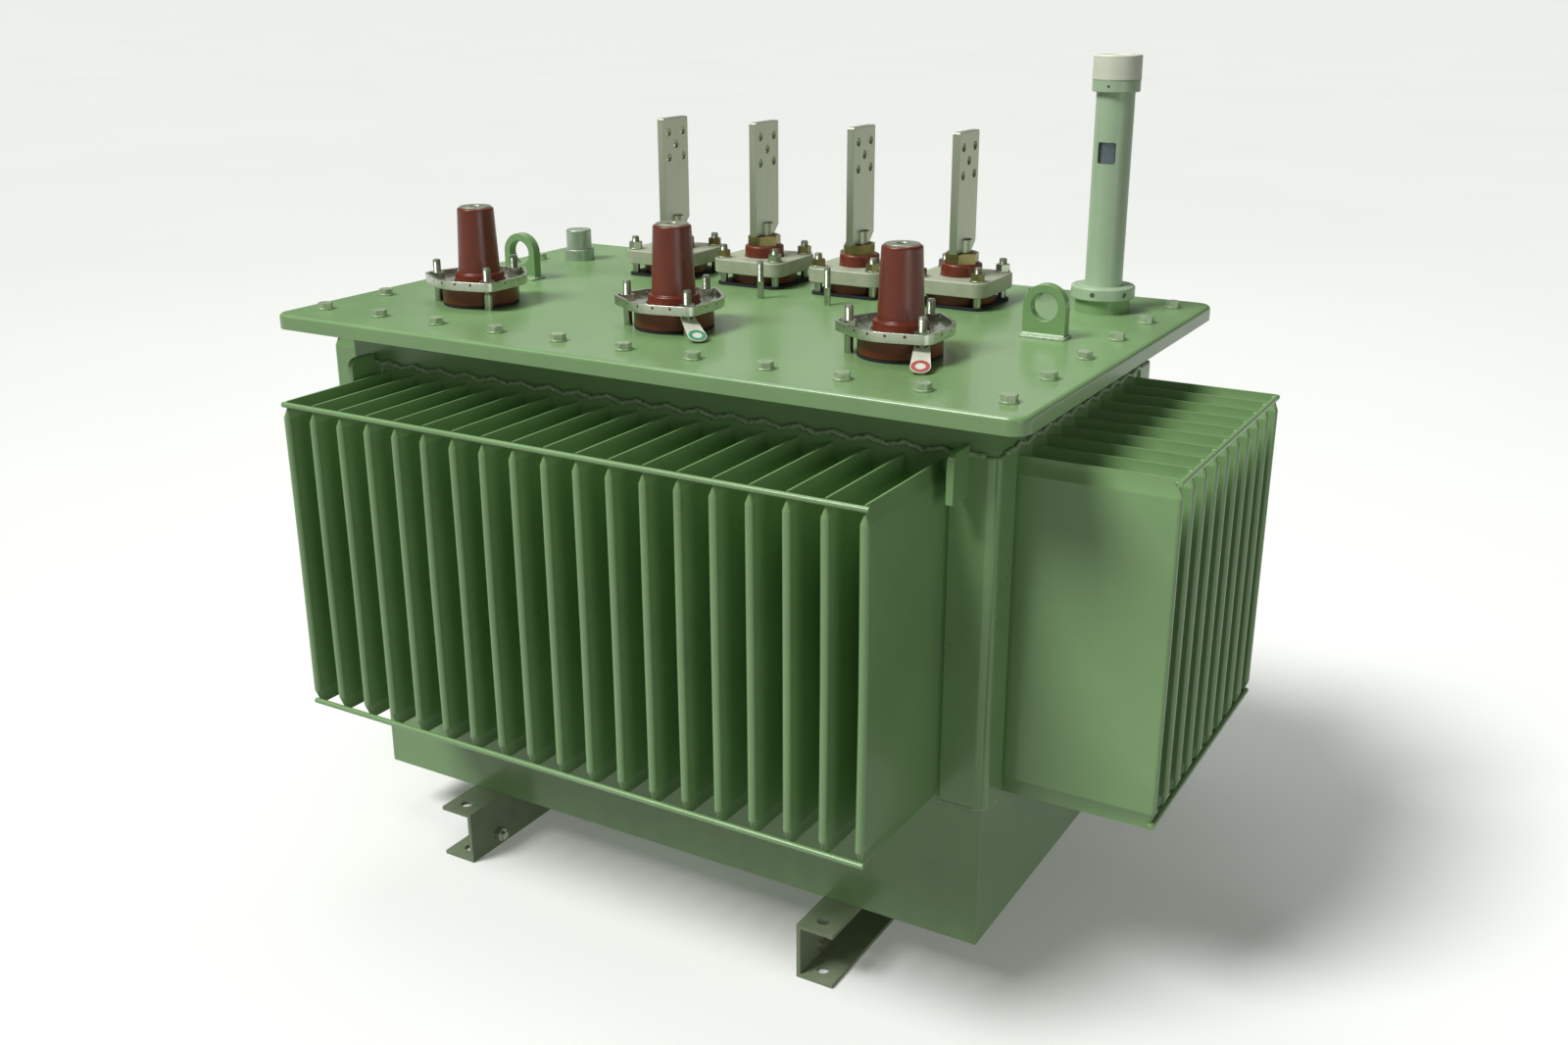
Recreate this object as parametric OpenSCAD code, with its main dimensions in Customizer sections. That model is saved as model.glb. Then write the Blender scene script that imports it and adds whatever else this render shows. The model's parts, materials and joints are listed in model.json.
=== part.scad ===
// Hermetically sealed, oil-immersed distribution transformer with a corrugated-fin tank.
// X runs along the long side, -Y is the high-voltage side, +Z is up. The origin is on the
// floor, under the middle of the two base rails.

/* [Base rails] */
// Height of each channel rail
rail_h = 84; // [70:1:110]
// Distance from the middle of the tank to the inner face of a rail's web
rail_x = 290; // [240:1:320]
// Width of a rail's flange, measured from the back of its web
rail_flange = 56; // [45:1:65]
// Length of a rail
rail_l = 726; // [640:2:760]
// Thickness of the rail's folded plate
rail_t = 6; // [5:1:8]
// Distance between the end holes along a rail
rail_hole_pitch = 676; // [560:2:690]

/* [Tank] */
// Length of the tank box, over its corrugated walls' flat sheet
tank_l = 1046; // [1000:2:1100]
// Width of the tank box, over its corrugated walls' flat sheet
tank_w = 577; // [560:1:620]
// Height from the tank's floor plate to the cover's top face
tank_h = 755; // [740:5:820]
// Thickness of the tank's plate
plate_t = 4; // [3:1:6]
// Thickness of the horizontal flange round the tank's mouth
flange_t = 13; // [10:1:16]

/* [Cooling fins] */
// Distance from one fin to the next
fin_pitch = 50; // [45:1:60]
// Fins on each long side
fins_long = 19; // [15:1:19]
// Fins on the short side by the gauge column
fins_right = 10; // [6:1:10]
// Fins on the other short side
fins_left = 6; // [3:1:10]
// How far a fin stands out of the wall
fin_depth = 206; // [120:2:240]
// Thickness of a fin over its two skins
fin_t = 12; // [10:1:14]
// Thickness of the corrugated sheet
sheet_t = 2.5; // [1.5:0.5:3]
// Height of the fins
fin_h = 461; // [400:1:480]
// Height of the fins' lower end above the tank's floor
fin_rise = 205; // [180:1:230]

/* [Cover] */
// Length of the cover over its turned-down lip
cover_l = 1176; // [1170:2:1200]
// Width of the cover over its turned-down lip
cover_w = 753; // [740:1:780]
// Thickness of the cover plate
cover_t = 5; // [4:1:6]
// Height of the turned-down lip
cover_lip = 22; // [18:1:26]
// Radius of the cover's corners, seen from above
cover_r = 24; // [16:1:36]
// Distance between the bolt rows of the two short sides
bolt_span_x = 1086; // [1084:2:1100]
// Distance between the bolt rows of the two long sides
bolt_span_y = 629; // [629:1:640]

/* [Bushings] */
// Distance between high-voltage bushings
hv_pitch = 352; // [300:2:360]
// Middle high-voltage bushing's place along X
hv_mid_x = -24; // [-40:1:0]
// High-voltage bushings' place along Y
hv_y = -160; // [-180:1:-150]
// Distance between low-voltage bushings
lv_pitch = 172; // [150:1:176]
// Middle of the low-voltage row along X
lv_mid_x = -5; // [-20:1:20]
// Low-voltage bushings' place along Y
lv_y = 198; // [190:1:205]
// Distance between the holes of a low-voltage palm
palm_hole_pitch = 40; // [36:1:44]

/* [Gauge column and tap changer] */
// Gauge column's place along X
column_x = 458; // [440:1:460]
// Gauge column's place along Y
column_y = 245; // [235:1:246]
// Height of the column's cap above the cover
column_h = 360; // [320:2:380]
// Tap changer's place along X
tap_x = -483; // [-484:1:-470]
// Tap changer's place along Y
tap_y = 223; // [200:1:230]

/* [Core and windings] */
// Distance between the core's limbs
limb_pitch = 310; // [304:1:316]
// Height of the core's window
window_h = 340; // [320:2:350]
// Height of a yoke
yoke_h = 160; // [140:2:164]

/* [Hidden] */

// Colours
paint = "#86a97c";
resin = "#6e2a1c";
tinned = "#b9bfae";
zinc = "#a9aea4";
pale_resin = "#a7b09a";
rubber_black = "#23262a";
cap_white = "#d9d8cc";
indicator_blue = "#24364f";
copper = "#b3703c";
core_steel = "#5b6067";
pressboard = "#b99a63";
brass = "#b39445";

// Heights
tank_z = rail_h;
cover_top = tank_z + tank_h;
lip_z = cover_top - cover_lip;
gasket_t = 6;
flange_top = cover_top - cover_t - gasket_t;
flange_z = flange_top - flange_t;
fin_z0 = tank_z + fin_rise;
fin_z1 = fin_z0 + fin_h;
lap = 14;
wall_z1 = fin_z1 + 12;

// Tank sections
box_l = tank_l - 2 * sheet_t;
box_w = tank_w - 2 * sheet_t;
mouth_l = box_l - 2 * plate_t;
mouth_w = box_w - 2 * plate_t;

// Fin ends: the skins taper to a welded seam
fin_taper = 12;
seam_h = 10;
seam_t = 3;
tie_d = 8;

// Fasteners
m12 = 12;
m12_hole = 13.5;
m12_flats = 19;
long_bolts = 11;
short_bolts = 6;

// High-voltage bushing, heights above the cover
hv_gasket_t = 4;
hv_body_r = 56;
hv_shoulder = 30;
hv_collar_r = 36;
hv_cone_foot = 47;
hv_top = 142;
hv_tail = 66;
hv_stud_r = 67;
hv_stud_angles = [80, 200, 320];
ring_h = 13;
ring_floor = 5;
ring_r = 71;
lobe_r = 18;
ring_rim = 5;
hv_x = [for (i = [-1:1]) hv_mid_x + i * hv_pitch];

// Low-voltage bushing, heights above the cover
lv_plate = 126;
lv_plate_z = 20;
lv_plate_t = 22;
lv_stud_offset = 47;
lv_neck_r = 31;
lv_neck_top = 60;
lv_stem_r = 14;
lv_stem_top = 95;
palm_foot = 76;
palm_top = 251;
palm_w = 70;
palm_t = 12;
palm_holes_z = palm_top - 42;
lv_x = [for (i = [0:3]) lv_mid_x + (i - 1.5) * lv_pitch];

// Gauge column, heights above the cover
tube_r = 27;
tube_bore = 23;
socket_h = 20;
collar_z = column_h - 50;
collar_h = 16;
neck_top = column_h - 15;
window_z = column_h - 148;
window_tall = 30;
window_w = 26;
run_gap = 0.3;

// Tap changer, heights above the cover
gland_h = 19;
spindle_r = 7;
fit_gap = 0.05;
selector_top = -80;
selector_h = 125;

// Drain valve
drain_x = -380;
drain_y = tank_w / 2 + 63;
drain_z = tank_z + 50;
drain_bore = 9;
drain_thread_r = 10.5;
drain_thread_depth = 20;

// Core
yoke_z = tank_z + 21;
limb_z = yoke_z + yoke_h;
limb_x = [for (i = [-1:1]) i * limb_pitch];
coil_inset = 10;
lv_coil_r = 110;
hv_coil_r = 149;
lv_stem_foot = 100;
hv_stem_foot = 95;

function arc(cx, cy, r, a0, a1, n = 8) =
    [for (i = [0:n]) let (a = a0 + (a1 - a0) * i / n) [cx + r * cos(a), cy + r * sin(a)]];

function rounded_rect(l, w, r, n = 8) = concat(
    arc(l / 2 - r, w / 2 - r, r, 0, 90, n), arc(r - l / 2, w / 2 - r, r, 90, 180, n),
    arc(r - l / 2, r - w / 2, r, 180, 270, n), arc(l / 2 - r, r - w / 2, r, 270, 360, n));

// A disc of radius r with a lobe of radius lobe round each stud, blended by tangents
function lobed(r, lobe) =
    let (t = acos((r - lobe) / hv_stud_r))
    [for (a = hv_stud_angles)
        for (p = concat(arc(hv_stud_r * cos(a), hv_stud_r * sin(a), lobe, a - t, a + t),
                        arc(0, 0, r, a + t, a + 120 - t))) p];

// One corrugated sheet, seen from above: flat from end to end, folded out round each fin
function fin_x(i, n) = (i - (n - 1) / 2) * fin_pitch;
function corrugation(n, half) = let (o = fin_t / 2, k = fin_t / 2 - sheet_t) concat(
    [[-half, 0]],
    [for (i = [0:n - 1]) each let (x = fin_x(i, n))
        [[x - o, 0], [x - o, fin_depth], [x + o, fin_depth], [x + o, 0]]],
    [[half, 0], [half, -sheet_t]],
    [for (i = [n - 1:-1:0]) each let (x = fin_x(i, n), d = fin_depth - sheet_t)
        [[x + k, -sheet_t], [x + k, d], [x - k, d], [x - k, -sheet_t]]],
    [[-half, -sheet_t]]);

// Centres of the cover's bolts
bolt_places = concat(
    [for (i = [0:long_bolts - 1]) for (s = [-1, 1])
        [(i / (long_bolts - 1) - 0.5) * bolt_span_x, s * bolt_span_y / 2]],
    [for (i = [1:short_bolts - 2]) for (s = [-1, 1])
        [s * bolt_span_x / 2, (i / (short_bolts - 1) - 0.5) * bolt_span_y]]);
lv_stud_places = [for (x = lv_x) for (sx = [-1, 1]) for (sy = [-1, 1])
    [x + sx * lv_stud_offset, lv_y + sy * lv_stud_offset]];
hv_stud_places = [for (x = hv_x) for (a = hv_stud_angles)
    [x + hv_stud_r * cos(a), hv_y + hv_stud_r * sin(a)]];

module on_cover(x, y, h = 0) {
    translate([x, y, cover_top + h]) children();
}

module hex_prism(flats, h) {
    cylinder(r = flats / 2 / cos(30), h = h, $fn = 6);
}

module hex_nut(flats, h, bore) {
    difference() {
        hex_prism(flats, h);
        translate([0, 0, -1]) cylinder(d = bore, h = h + 2, $fn = 32);
    }
}

// A flat rectangular frame, given by its outer and inner sizes
module box_frame(l, w, inner_l, inner_w, h) {
    difference() {
        translate([-l / 2, -w / 2, 0]) cube([l, w, h]);
        translate([-inner_l / 2, -inner_w / 2, -1]) cube([inner_l, inner_w, h + 2]);
    }
}

// ---- Tank ----

module lower_tank() {
    color(paint) difference() {
        translate([-box_l / 2, -box_w / 2, tank_z]) cube([box_l, box_w, fin_rise + lap]);
        translate([-mouth_l / 2, -mouth_w / 2, tank_z + plate_t])
            cube([mouth_l, mouth_w, fin_rise + lap]);
        translate([drain_x, box_w / 2 - 20, drain_z]) rotate([-90, 0, 0])
            cylinder(r = drain_bore + 5, h = 40, $fn = 48);
    }
}

module tank_rim() {
    flange_gap = 3;
    inset = cover_t + flange_gap;
    color(paint) difference() {
        union() {
            translate([0, 0, wall_z1 - lap])
                box_frame(box_l, box_w, mouth_l, mouth_w, flange_top - wall_z1 + lap);
            translate([0, 0, flange_z]) linear_extrude(flange_t)
                polygon(rounded_rect(cover_l - 2 * inset, cover_w - 2 * inset, cover_r - inset));
        }
        translate([-mouth_l / 2, -mouth_w / 2, flange_z - 1])
            cube([mouth_l, mouth_w, flange_t + 2]);
        for (p = bolt_places) translate([p[0], p[1], flange_z - 1])
            cylinder(d = m12_hole, h = flange_t + 2, $fn = 32);
    }
}

// The end of a fin: its skins taper together into an upright welded seam
module fin_end(depth) {
    o = fin_t / 2;
    k = seam_t / 2;
    translate([0, depth, 0]) rotate([90, 0, 0]) linear_extrude(depth)
        polygon([[-o, 0], [o, 0], [k, fin_taper], [k, fin_taper + seam_h],
                 [-k, fin_taper + seam_h], [-k, fin_taper]]);
}

// A corrugated wall, standing on the line Y = 0 with its fins towards +Y
module fin_wall(n, half) {
    end_h = fin_taper + seam_h;
    color(paint) difference() {
        union() {
            translate([0, 0, fin_z0 + end_h]) linear_extrude(fin_h - 2 * end_h)
                polygon(corrugation(n, half));
            for (z = [fin_z0, fin_z1 - end_h]) translate([-half, -sheet_t, z])
                cube([2 * half, sheet_t, z == fin_z0 ? end_h : end_h + wall_z1 - fin_z1]);
            for (i = [0:n - 1]) translate([fin_x(i, n), 0, 0]) {
                translate([0, 0, fin_z1 - end_h]) fin_end(fin_depth);
                translate([0, 0, fin_z0 + end_h]) mirror([0, 0, 1]) fin_end(fin_depth);
            }
        }
        for (z = [fin_z0 - 1, fin_z1 - seam_h])
            translate([-half, fin_depth - tie_d, z]) cube([2 * half, tie_d + 1, seam_h + 1]);
    }
}

module fin_wall_front() {
    rotate([0, 0, 180]) translate([0, tank_w / 2, 0]) fin_wall(fins_long, tank_l / 2);
}

module fin_wall_back() {
    translate([0, tank_w / 2, 0]) fin_wall(fins_long, tank_l / 2);
}

module fin_wall_left() {
    rotate([0, 0, 90]) translate([0, tank_l / 2, 0]) fin_wall(fins_left, box_w / 2);
}

module fin_wall_right() {
    rotate([0, 0, -90]) translate([0, tank_l / 2, 0]) fin_wall(fins_right, box_w / 2);
}

// Round bars welded across the fins' tips, top and bottom
module tie_bar_pair(n) {
    length = (n - 1) * fin_pitch + fin_t;
    for (z = [fin_z0 + seam_h / 2, fin_z1 - seam_h / 2])
        translate([-length / 2, fin_depth - tie_d / 2, z]) rotate([0, 90, 0])
            cylinder(d = tie_d, h = length, $fn = 32);
}

module fin_tie_bars() {
    color(paint) {
        for (a = [0, 180]) rotate([0, 0, a]) translate([0, tank_w / 2, 0]) tie_bar_pair(fins_long);
        rotate([0, 0, 90]) translate([0, tank_l / 2, 0]) tie_bar_pair(fins_left);
        rotate([0, 0, -90]) translate([0, tank_l / 2, 0]) tie_bar_pair(fins_right);
    }
}

// A channel lying along Y, its web towards the middle and its flanges outwards
module rail() {
    hole_x = rail_x + rail_flange / 2;
    color(paint) difference() {
        translate([rail_x, -rail_l / 2, 0]) cube([rail_flange, rail_l, rail_h]);
        translate([rail_x + rail_t, -rail_l / 2 - 1, rail_t])
            cube([rail_flange, rail_l + 2, rail_h - 2 * rail_t]);
        for (s = [-1, 1]) translate([hole_x, s * rail_hole_pitch / 2, -1])
            cylinder(d = 18, h = rail_h + 2, $fn = 48);
        for (s = [-1, 1]) translate([rail_x - 1, s * 303, 22]) rotate([0, 90, 0])
            cylinder(d = m12, h = rail_t + 2, $fn = 32);
    }
}

module rail_right() {
    rail();
}

module rail_left() {
    mirror([1, 0, 0]) rail();
}

// Earthing bolts through the rails' webs, with a nut on the inner side
module earth_bolts() {
    color(zinc) for (a = [0, 180]) rotate([0, 0, a]) for (s = [-1, 1])
        translate([rail_x, s * 303, 22]) rotate([0, 90, 0]) {
            translate([0, 0, -16]) cylinder(d = m12, h = 16 + rail_t, $fn = 32);
            translate([0, 0, -10]) hex_nut(m12_flats, 10, m12);
            translate([0, 0, rail_t]) cylinder(r = 12, h = 2.5, $fn = 32);
            translate([0, 0, rail_t + 2.5]) hex_prism(m12_flats, 8);
        }
}

// Upright lashing plates beside the long sides' fins, just under the cover
module lashing_plates() {
    depth = 48;
    tall = 65;
    color(paint) for (a = [0, 180]) rotate([0, 0, a]) for (s = [-1, 1])
        translate([s * 482 - 5, tank_w / 2, flange_z - 41 - tall])
            rotate([90, 0, 90]) linear_extrude(10)
                polygon(concat([[0, 0], [depth, 0]], arc(depth - 14, tall - 14, 14, 0, 90),
                               [[0, tall]]));
}

// Blank rating plate on the low-voltage side, riveted to the lower tank
module rating_plate() {
    color(tinned) translate([300, box_w / 2, tank_z + 118]) rotate([-90, 0, 0]) {
        linear_extrude(1.5) polygon(rounded_rect(160, 110, 6));
        for (sx = [-1, 1]) for (sy = [-1, 1]) translate([sx * 72, sy * 47, 1.5])
            cylinder(r = 3.5, h = 1.5, $fn = 24);
    }
}

// ---- Cover ----

module cover_gasket() {
    color(rubber_black) translate([0, 0, flange_top])
        box_frame(mouth_l + 36, mouth_w + 44, mouth_l, mouth_w, gasket_t);
}

module cover() {
    color(paint) difference() {
        translate([0, 0, lip_z]) linear_extrude(cover_lip)
            polygon(rounded_rect(cover_l, cover_w, cover_r));
        translate([0, 0, lip_z - 1]) linear_extrude(cover_lip - cover_t + 1)
            polygon(rounded_rect(cover_l - 2 * cover_t, cover_w - 2 * cover_t, cover_r - cover_t));
        for (p = bolt_places) on_cover(p[0], p[1], -cover_t - 1)
            cylinder(d = m12_hole, h = cover_t + 2, $fn = 32);
        for (x = hv_x) on_cover(x, hv_y, -cover_t - 1) cylinder(r = 35, h = cover_t + 2, $fn = 64);
        for (x = lv_x) on_cover(x, lv_y, -cover_t - 1) cylinder(r = 33, h = cover_t + 2, $fn = 64);
        on_cover(column_x, column_y, -cover_t - 1)
            cylinder(r = tube_bore + 1, h = cover_t + 2, $fn = 64);
        on_cover(tap_x, tap_y, -cover_t - 1) cylinder(r = 16, h = cover_t + 2, $fn = 48);
    }
}

module cover_bolts() {
    shank = 2.5 + cover_t + gasket_t + flange_t + 14;
    color(zinc) for (p = bolt_places) on_cover(p[0], p[1]) {
        difference() {
            cylinder(r = 12, h = 2.5, $fn = 48);
            translate([0, 0, -1]) cylinder(d = m12, h = 5, $fn = 32);
        }
        translate([0, 0, 2.5]) hex_prism(m12_flats, 7.5);
        translate([0, 0, 2.5 - shank]) cylinder(d = m12, h = shank, $fn = 32);
    }
}

module cover_nuts() {
    color(zinc) for (p = bolt_places) translate([p[0], p[1], flange_z - 10])
        hex_nut(m12_flats, 10, m12);
}

// Two plain studs welded to the cover in front of the low-voltage row
module cover_studs() {
    color(zinc) for (p = [[-24, 74], [90, 78]]) on_cover(p[0], p[1])
        cylinder(d = 10, h = 57, $fn = 32);
}

module lifting_lugs() {
    w = 62;
    t = 16;
    tall = 73;
    color(paint) for (s = [-1, 1]) on_cover(s * 452, 32) {
        difference() {
            translate([0, t / 2, 0]) rotate([90, 0, 0]) linear_extrude(t)
                polygon(concat([[-w / 2, 0], [w / 2, 0]], arc(0, tall - w / 2, w / 2, 0, 180, 24)));
            translate([0, t, tall - w / 2]) rotate([90, 0, 0])
                cylinder(r = 19, h = 2 * t, $fn = 64);
        }
        for (k = [-1, 1]) translate([-w / 2, k * t / 2, 0]) rotate([90, 0, 90]) linear_extrude(w)
            polygon([[0, 0], [k * 6, 0], [0, 6]]);
    }
}

// ---- High-voltage bushings ----

// Resin body: tail in the oil, base under the ring, collar inside it and cone above
module hv_bushing(i) {
    color(resin) on_cover(hv_x[i], hv_y) rotate_extrude($fn = 96)
        polygon([[10, -hv_tail], [22, -hv_tail], [33, -10], [33, hv_gasket_t],
                 [hv_body_r, hv_gasket_t], [hv_body_r, hv_shoulder],
                 [hv_collar_r, hv_shoulder], [hv_collar_r, hv_cone_foot],
                 [30.5, hv_cone_foot], [26.8, hv_top - 2], [25, hv_top], [23, hv_top],
                 [23, hv_top - 4], [10, hv_top - 4]]);
}

// Conductors: a stud into the tank and a tapped contact disc on top of each cone
module hv_terminals() {
    tap_r = 6.9;
    color(tinned) for (x = hv_x) on_cover(x, hv_y) rotate_extrude($fn = 64)
        polygon([[0, -hv_stem_foot], [10, -hv_stem_foot], [10, hv_top - 4],
                 [23, hv_top - 4], [23, hv_top + 2], [tap_r, hv_top + 2],
                 [tap_r, hv_top - 26], [0, hv_top - 26]]);
}

// Cast ring with a floor that presses on the bushing's base and a rim round it
module hv_clamp_ring(i) {
    color(tinned) on_cover(hv_x[i], hv_y, hv_shoulder) difference() {
        linear_extrude(ring_h) polygon(lobed(ring_r, lobe_r));
        translate([0, 0, ring_floor]) linear_extrude(ring_h)
            polygon(lobed(ring_r - ring_rim, lobe_r - ring_rim));
        translate([0, 0, -1]) cylinder(r = hv_collar_r + 2, h = ring_h, $fn = 64);
        for (a = hv_stud_angles) rotate(a) translate([hv_stud_r, 0, -1])
            cylinder(d = 13, h = ring_h, $fn = 32);
    }
}

// Flat gaskets under all seven bushings
module bushing_gaskets() {
    color(rubber_black) {
        for (x = hv_x) on_cover(x, hv_y) difference() {
            cylinder(r = hv_body_r, h = hv_gasket_t, $fn = 96);
            translate([0, 0, -1]) cylinder(r = 34, h = hv_gasket_t + 2, $fn = 64);
        }
        for (x = lv_x) on_cover(x, lv_y) difference() {
            linear_extrude(hv_gasket_t) polygon(rounded_rect(116, 116, 14));
            translate([0, 0, -1]) cylinder(r = 32, h = hv_gasket_t + 2, $fn = 64);
            for (sx = [-1, 1]) for (sy = [-1, 1])
                translate([sx * lv_stud_offset, sy * lv_stud_offset, -1])
                    cylinder(d = m12, h = hv_gasket_t + 2, $fn = 32);
        }
    }
}

// Blank tags on one stud of the middle and right high-voltage bushings, hanging outwards
module phase_tags() {
    reach = 43;
    disc_r = 13;
    tab_r = 10;
    t = acos((tab_r - disc_r) / reach);
    color(cap_white) for (tag = [[1, -38], [2, -67]])
        on_cover(hv_x[tag[0]] + hv_stud_r * cos(hv_stud_angles[2]),
                 hv_y + hv_stud_r * sin(hv_stud_angles[2]), 25)
            rotate([0, 0, tag[1]]) rotate([0, 23, 0]) translate([0, 0, -0.75]) difference() {
                linear_extrude(1.5)
                    polygon(concat(arc(reach, 0, disc_r, -t, t, 24), arc(0, 0, tab_r, t, 360 - t, 16)));
                translate([0, 0, -1]) cylinder(d = 15, h = 4, $fn = 32);
            }
}

// ---- Low-voltage bushings ----

module lv_bushing(i) {
    color(resin) on_cover(lv_x[i], lv_y) rotate_extrude($fn = 96)
        polygon([[lv_stem_r, -60], [24, -60], [lv_neck_r, -10], [lv_neck_r, hv_gasket_t],
                 [52, hv_gasket_t], [52, lv_plate_z], [lv_neck_r, lv_plate_z],
                 [lv_neck_r, lv_neck_top - 3], [lv_neck_r - 3, lv_neck_top],
                 [lv_stem_r, lv_neck_top]]);
}

// Tinned stem and flat palm in one piece, the palm's faces towards -X and +X
module lv_palm(i) {
    r = 3;
    color(tinned) on_cover(lv_x[i], lv_y) difference() {
        union() {
            translate([0, 0, -lv_stem_foot])
                cylinder(r = lv_stem_r, h = lv_stem_foot + lv_stem_top, $fn = 64);
            translate([-palm_t / 2, 0, 0]) rotate([90, 0, 90]) linear_extrude(palm_t)
                polygon(concat([[-palm_w / 2, palm_foot], [palm_w / 2 - 12, palm_foot],
                                [palm_w / 2, palm_foot + 14]],
                               arc(palm_w / 2 - r, palm_top - r, r, 0, 90, 4),
                               arc(r - palm_w / 2, palm_top - r, r, 90, 180, 4)));
        }
        for (p = [[0, 0], [-1, -1], [-1, 1], [1, -1], [1, 1]])
            translate([-palm_t, p[0] * palm_hole_pitch / 2, palm_holes_z + p[1] * palm_hole_pitch / 2])
                rotate([0, 90, 0]) cylinder(d = 13, h = 2 * palm_t, $fn = 48);
    }
}

module lv_clamp_plates() {
    color(pale_resin) for (x = lv_x) on_cover(x, lv_y, lv_plate_z) difference() {
        linear_extrude(lv_plate_t) polygon(rounded_rect(lv_plate, lv_plate, 20));
        translate([0, 0, -1]) cylinder(r = lv_neck_r + 1, h = lv_plate_t + 2, $fn = 64);
        for (sx = [-1, 1]) for (sy = [-1, 1])
            translate([sx * lv_stud_offset, sy * lv_stud_offset, -1])
                cylinder(d = 13, h = lv_plate_t + 2, $fn = 32);
    }
}

// Welded studs that hold the clamping rings and plates
module bushing_studs() {
    color(zinc) for (p = concat(hv_stud_places, lv_stud_places)) on_cover(p[0], p[1])
        cylinder(d = m12, h = 63, $fn = 32);
}

// Nuts on those studs: bare inside the rings, on washers over the plates
module bushing_nuts() {
    plate_top = lv_plate_z + lv_plate_t;
    color(zinc) {
        for (p = hv_stud_places) on_cover(p[0], p[1], hv_shoulder + ring_floor)
            hex_nut(m12_flats, 9, m12);
        for (p = lv_stud_places) on_cover(p[0], p[1], plate_top) {
            difference() {
                cylinder(r = 12, h = 2.5, $fn = 48);
                translate([0, 0, -1]) cylinder(d = m12, h = 5, $fn = 32);
            }
            translate([0, 0, 2.5]) hex_nut(m12_flats, 10, m12);
        }
    }
}

module lv_stem_nuts() {
    color(brass) for (x = lv_x) on_cover(x, lv_y, lv_neck_top)
        hex_nut(46, palm_foot - lv_neck_top, 2 * lv_stem_r);
}

// ---- Gauge column ----

module on_column(h = 0) {
    on_cover(column_x, column_y, h) children();
}

module sleeve(r_out, r_in, h) {
    difference() {
        cylinder(r = r_out, h = h, $fn = 96);
        translate([0, 0, -1]) cylinder(r = r_in, h = h + 2, $fn = 96);
    }
}

module column_socket() {
    color(paint) on_column() sleeve(39.5, tube_bore + 1, socket_h);
}

module column_flange() {
    color(paint) on_column(socket_h) difference() {
        sleeve(46, tube_r, 18);
        for (a = [30:60:330]) rotate(a) translate([42, -3, 4]) cube([6, 6, 10]);
    }
}

// Tube with its window towards -Y and a neck inside the cap
module column_tube() {
    color(paint) on_column() difference() {
        translate([0, 0, socket_h]) sleeve(tube_r, tube_bore, neck_top - socket_h);
        translate([-window_w / 2, -tube_r - 1, window_z]) cube([window_w, tube_r, window_tall]);
    }
}

module column_collar() {
    color(paint) on_column(collar_z) difference() {
        sleeve(33.5, tube_r, collar_h);
        translate([0, -36, collar_h / 2]) rotate([-90, 0, 0]) cylinder(d = 4, h = 7, $fn = 24);
    }
}

module sight_glass() {
    color("#8fb0c4") on_column(window_z - 12) sleeve(tube_bore, tube_bore - 2, window_tall + 24);
}

// Float in the oil, its rod, and the indicator drum behind the window
module level_float() {
    color(indicator_blue) on_column() {
        translate([0, 0, -20]) cylinder(r = 20, h = 50, $fn = 64);
        translate([0, 0, 30]) cylinder(r = 3, h = window_z - 28, $fn = 32);
        translate([0, 0, window_z + 2]) cylinder(r = 19, h = window_tall - 4, $fn = 64);
    }
}

module cap_seal() {
    color(rubber_black) on_column(neck_top + run_gap) cylinder(r = tube_r - 0.5, h = 4, $fn = 96);
}

module filler_cap() {
    cap_z = collar_z + collar_h + run_gap;
    color(cap_white) on_column() difference() {
        translate([0, 0, cap_z]) cylinder(r = 34, h = column_h - cap_z, $fn = 96);
        translate([0, 0, cap_z - 1])
            cylinder(r = tube_r + 2.5, h = neck_top + 4 + 2 * run_gap - cap_z + 1, $fn = 96);
    }
}

// ---- Tap changer ----

module on_tap(h = 0) {
    on_cover(tap_x, tap_y, h) children();
}

module tap_gland() {
    color(zinc) on_tap() difference() {
        union() {
            cylinder(r = 25.5, h = gland_h, $fn = 96);
            translate([0, 0, -32]) cylinder(r = 16, h = 32, $fn = 64);
        }
        translate([0, 0, -33]) cylinder(r = spindle_r + fit_gap, h = gland_h + 34, $fn = 64);
    }
}

// Protective cap that pulls off upwards
module tap_cap() {
    color(zinc) on_tap(gland_h + run_gap) difference() {
        cylinder(r = 21.5, h = 33, $fn = 96);
        translate([0, 0, -1]) cylinder(r = 18.5, h = 31, $fn = 96);
    }
}

// Knob with its pointer, shaft, insulating rod and rotor with one moving contact per phase
module tap_spindle() {
    arm = 19.6;
    color(brass) on_tap() {
        translate([0, 0, gland_h + 3]) cylinder(r = 14, h = 12, $fn = 64);
        translate([-2.5, 0, gland_h + 15]) cube([5, 14, 4]);
        translate([0, 0, selector_top + 1])
            cylinder(r = spindle_r, h = gland_h + 16 - selector_top, $fn = 64);
        translate([0, 0, selector_top - 110]) cylinder(r = 10, h = 104.5, $fn = 64);
        translate([0, 0, selector_top - 6]) cylinder(r = spindle_r, h = 8, $fn = 64);
        for (k = [0:2]) translate([-3, 0, selector_top - 98 + k * 34]) cube([6, arm, 8]);
    }
}

// Fixed insulating drum with five contact gaps for each phase
module tap_selector() {
    color(pressboard) on_tap(selector_top - selector_h) {
        difference() {
            cylinder(r = 27, h = selector_h, $fn = 96);
            translate([0, 0, 5]) cylinder(r = 23, h = selector_h - 10, $fn = 96);
            translate([0, 0, selector_h - 6]) cylinder(r = spindle_r + fit_gap, h = 7, $fn = 64);
        }
        for (k = [0:2]) for (a = [0:36:180]) rotate(a)
            translate([20.2, 0, 31 + k * 34]) rotate([0, 90, 0]) cylinder(d = 6, h = 10, $fn = 32);
    }
}

// ---- Drain valve ----

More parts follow.
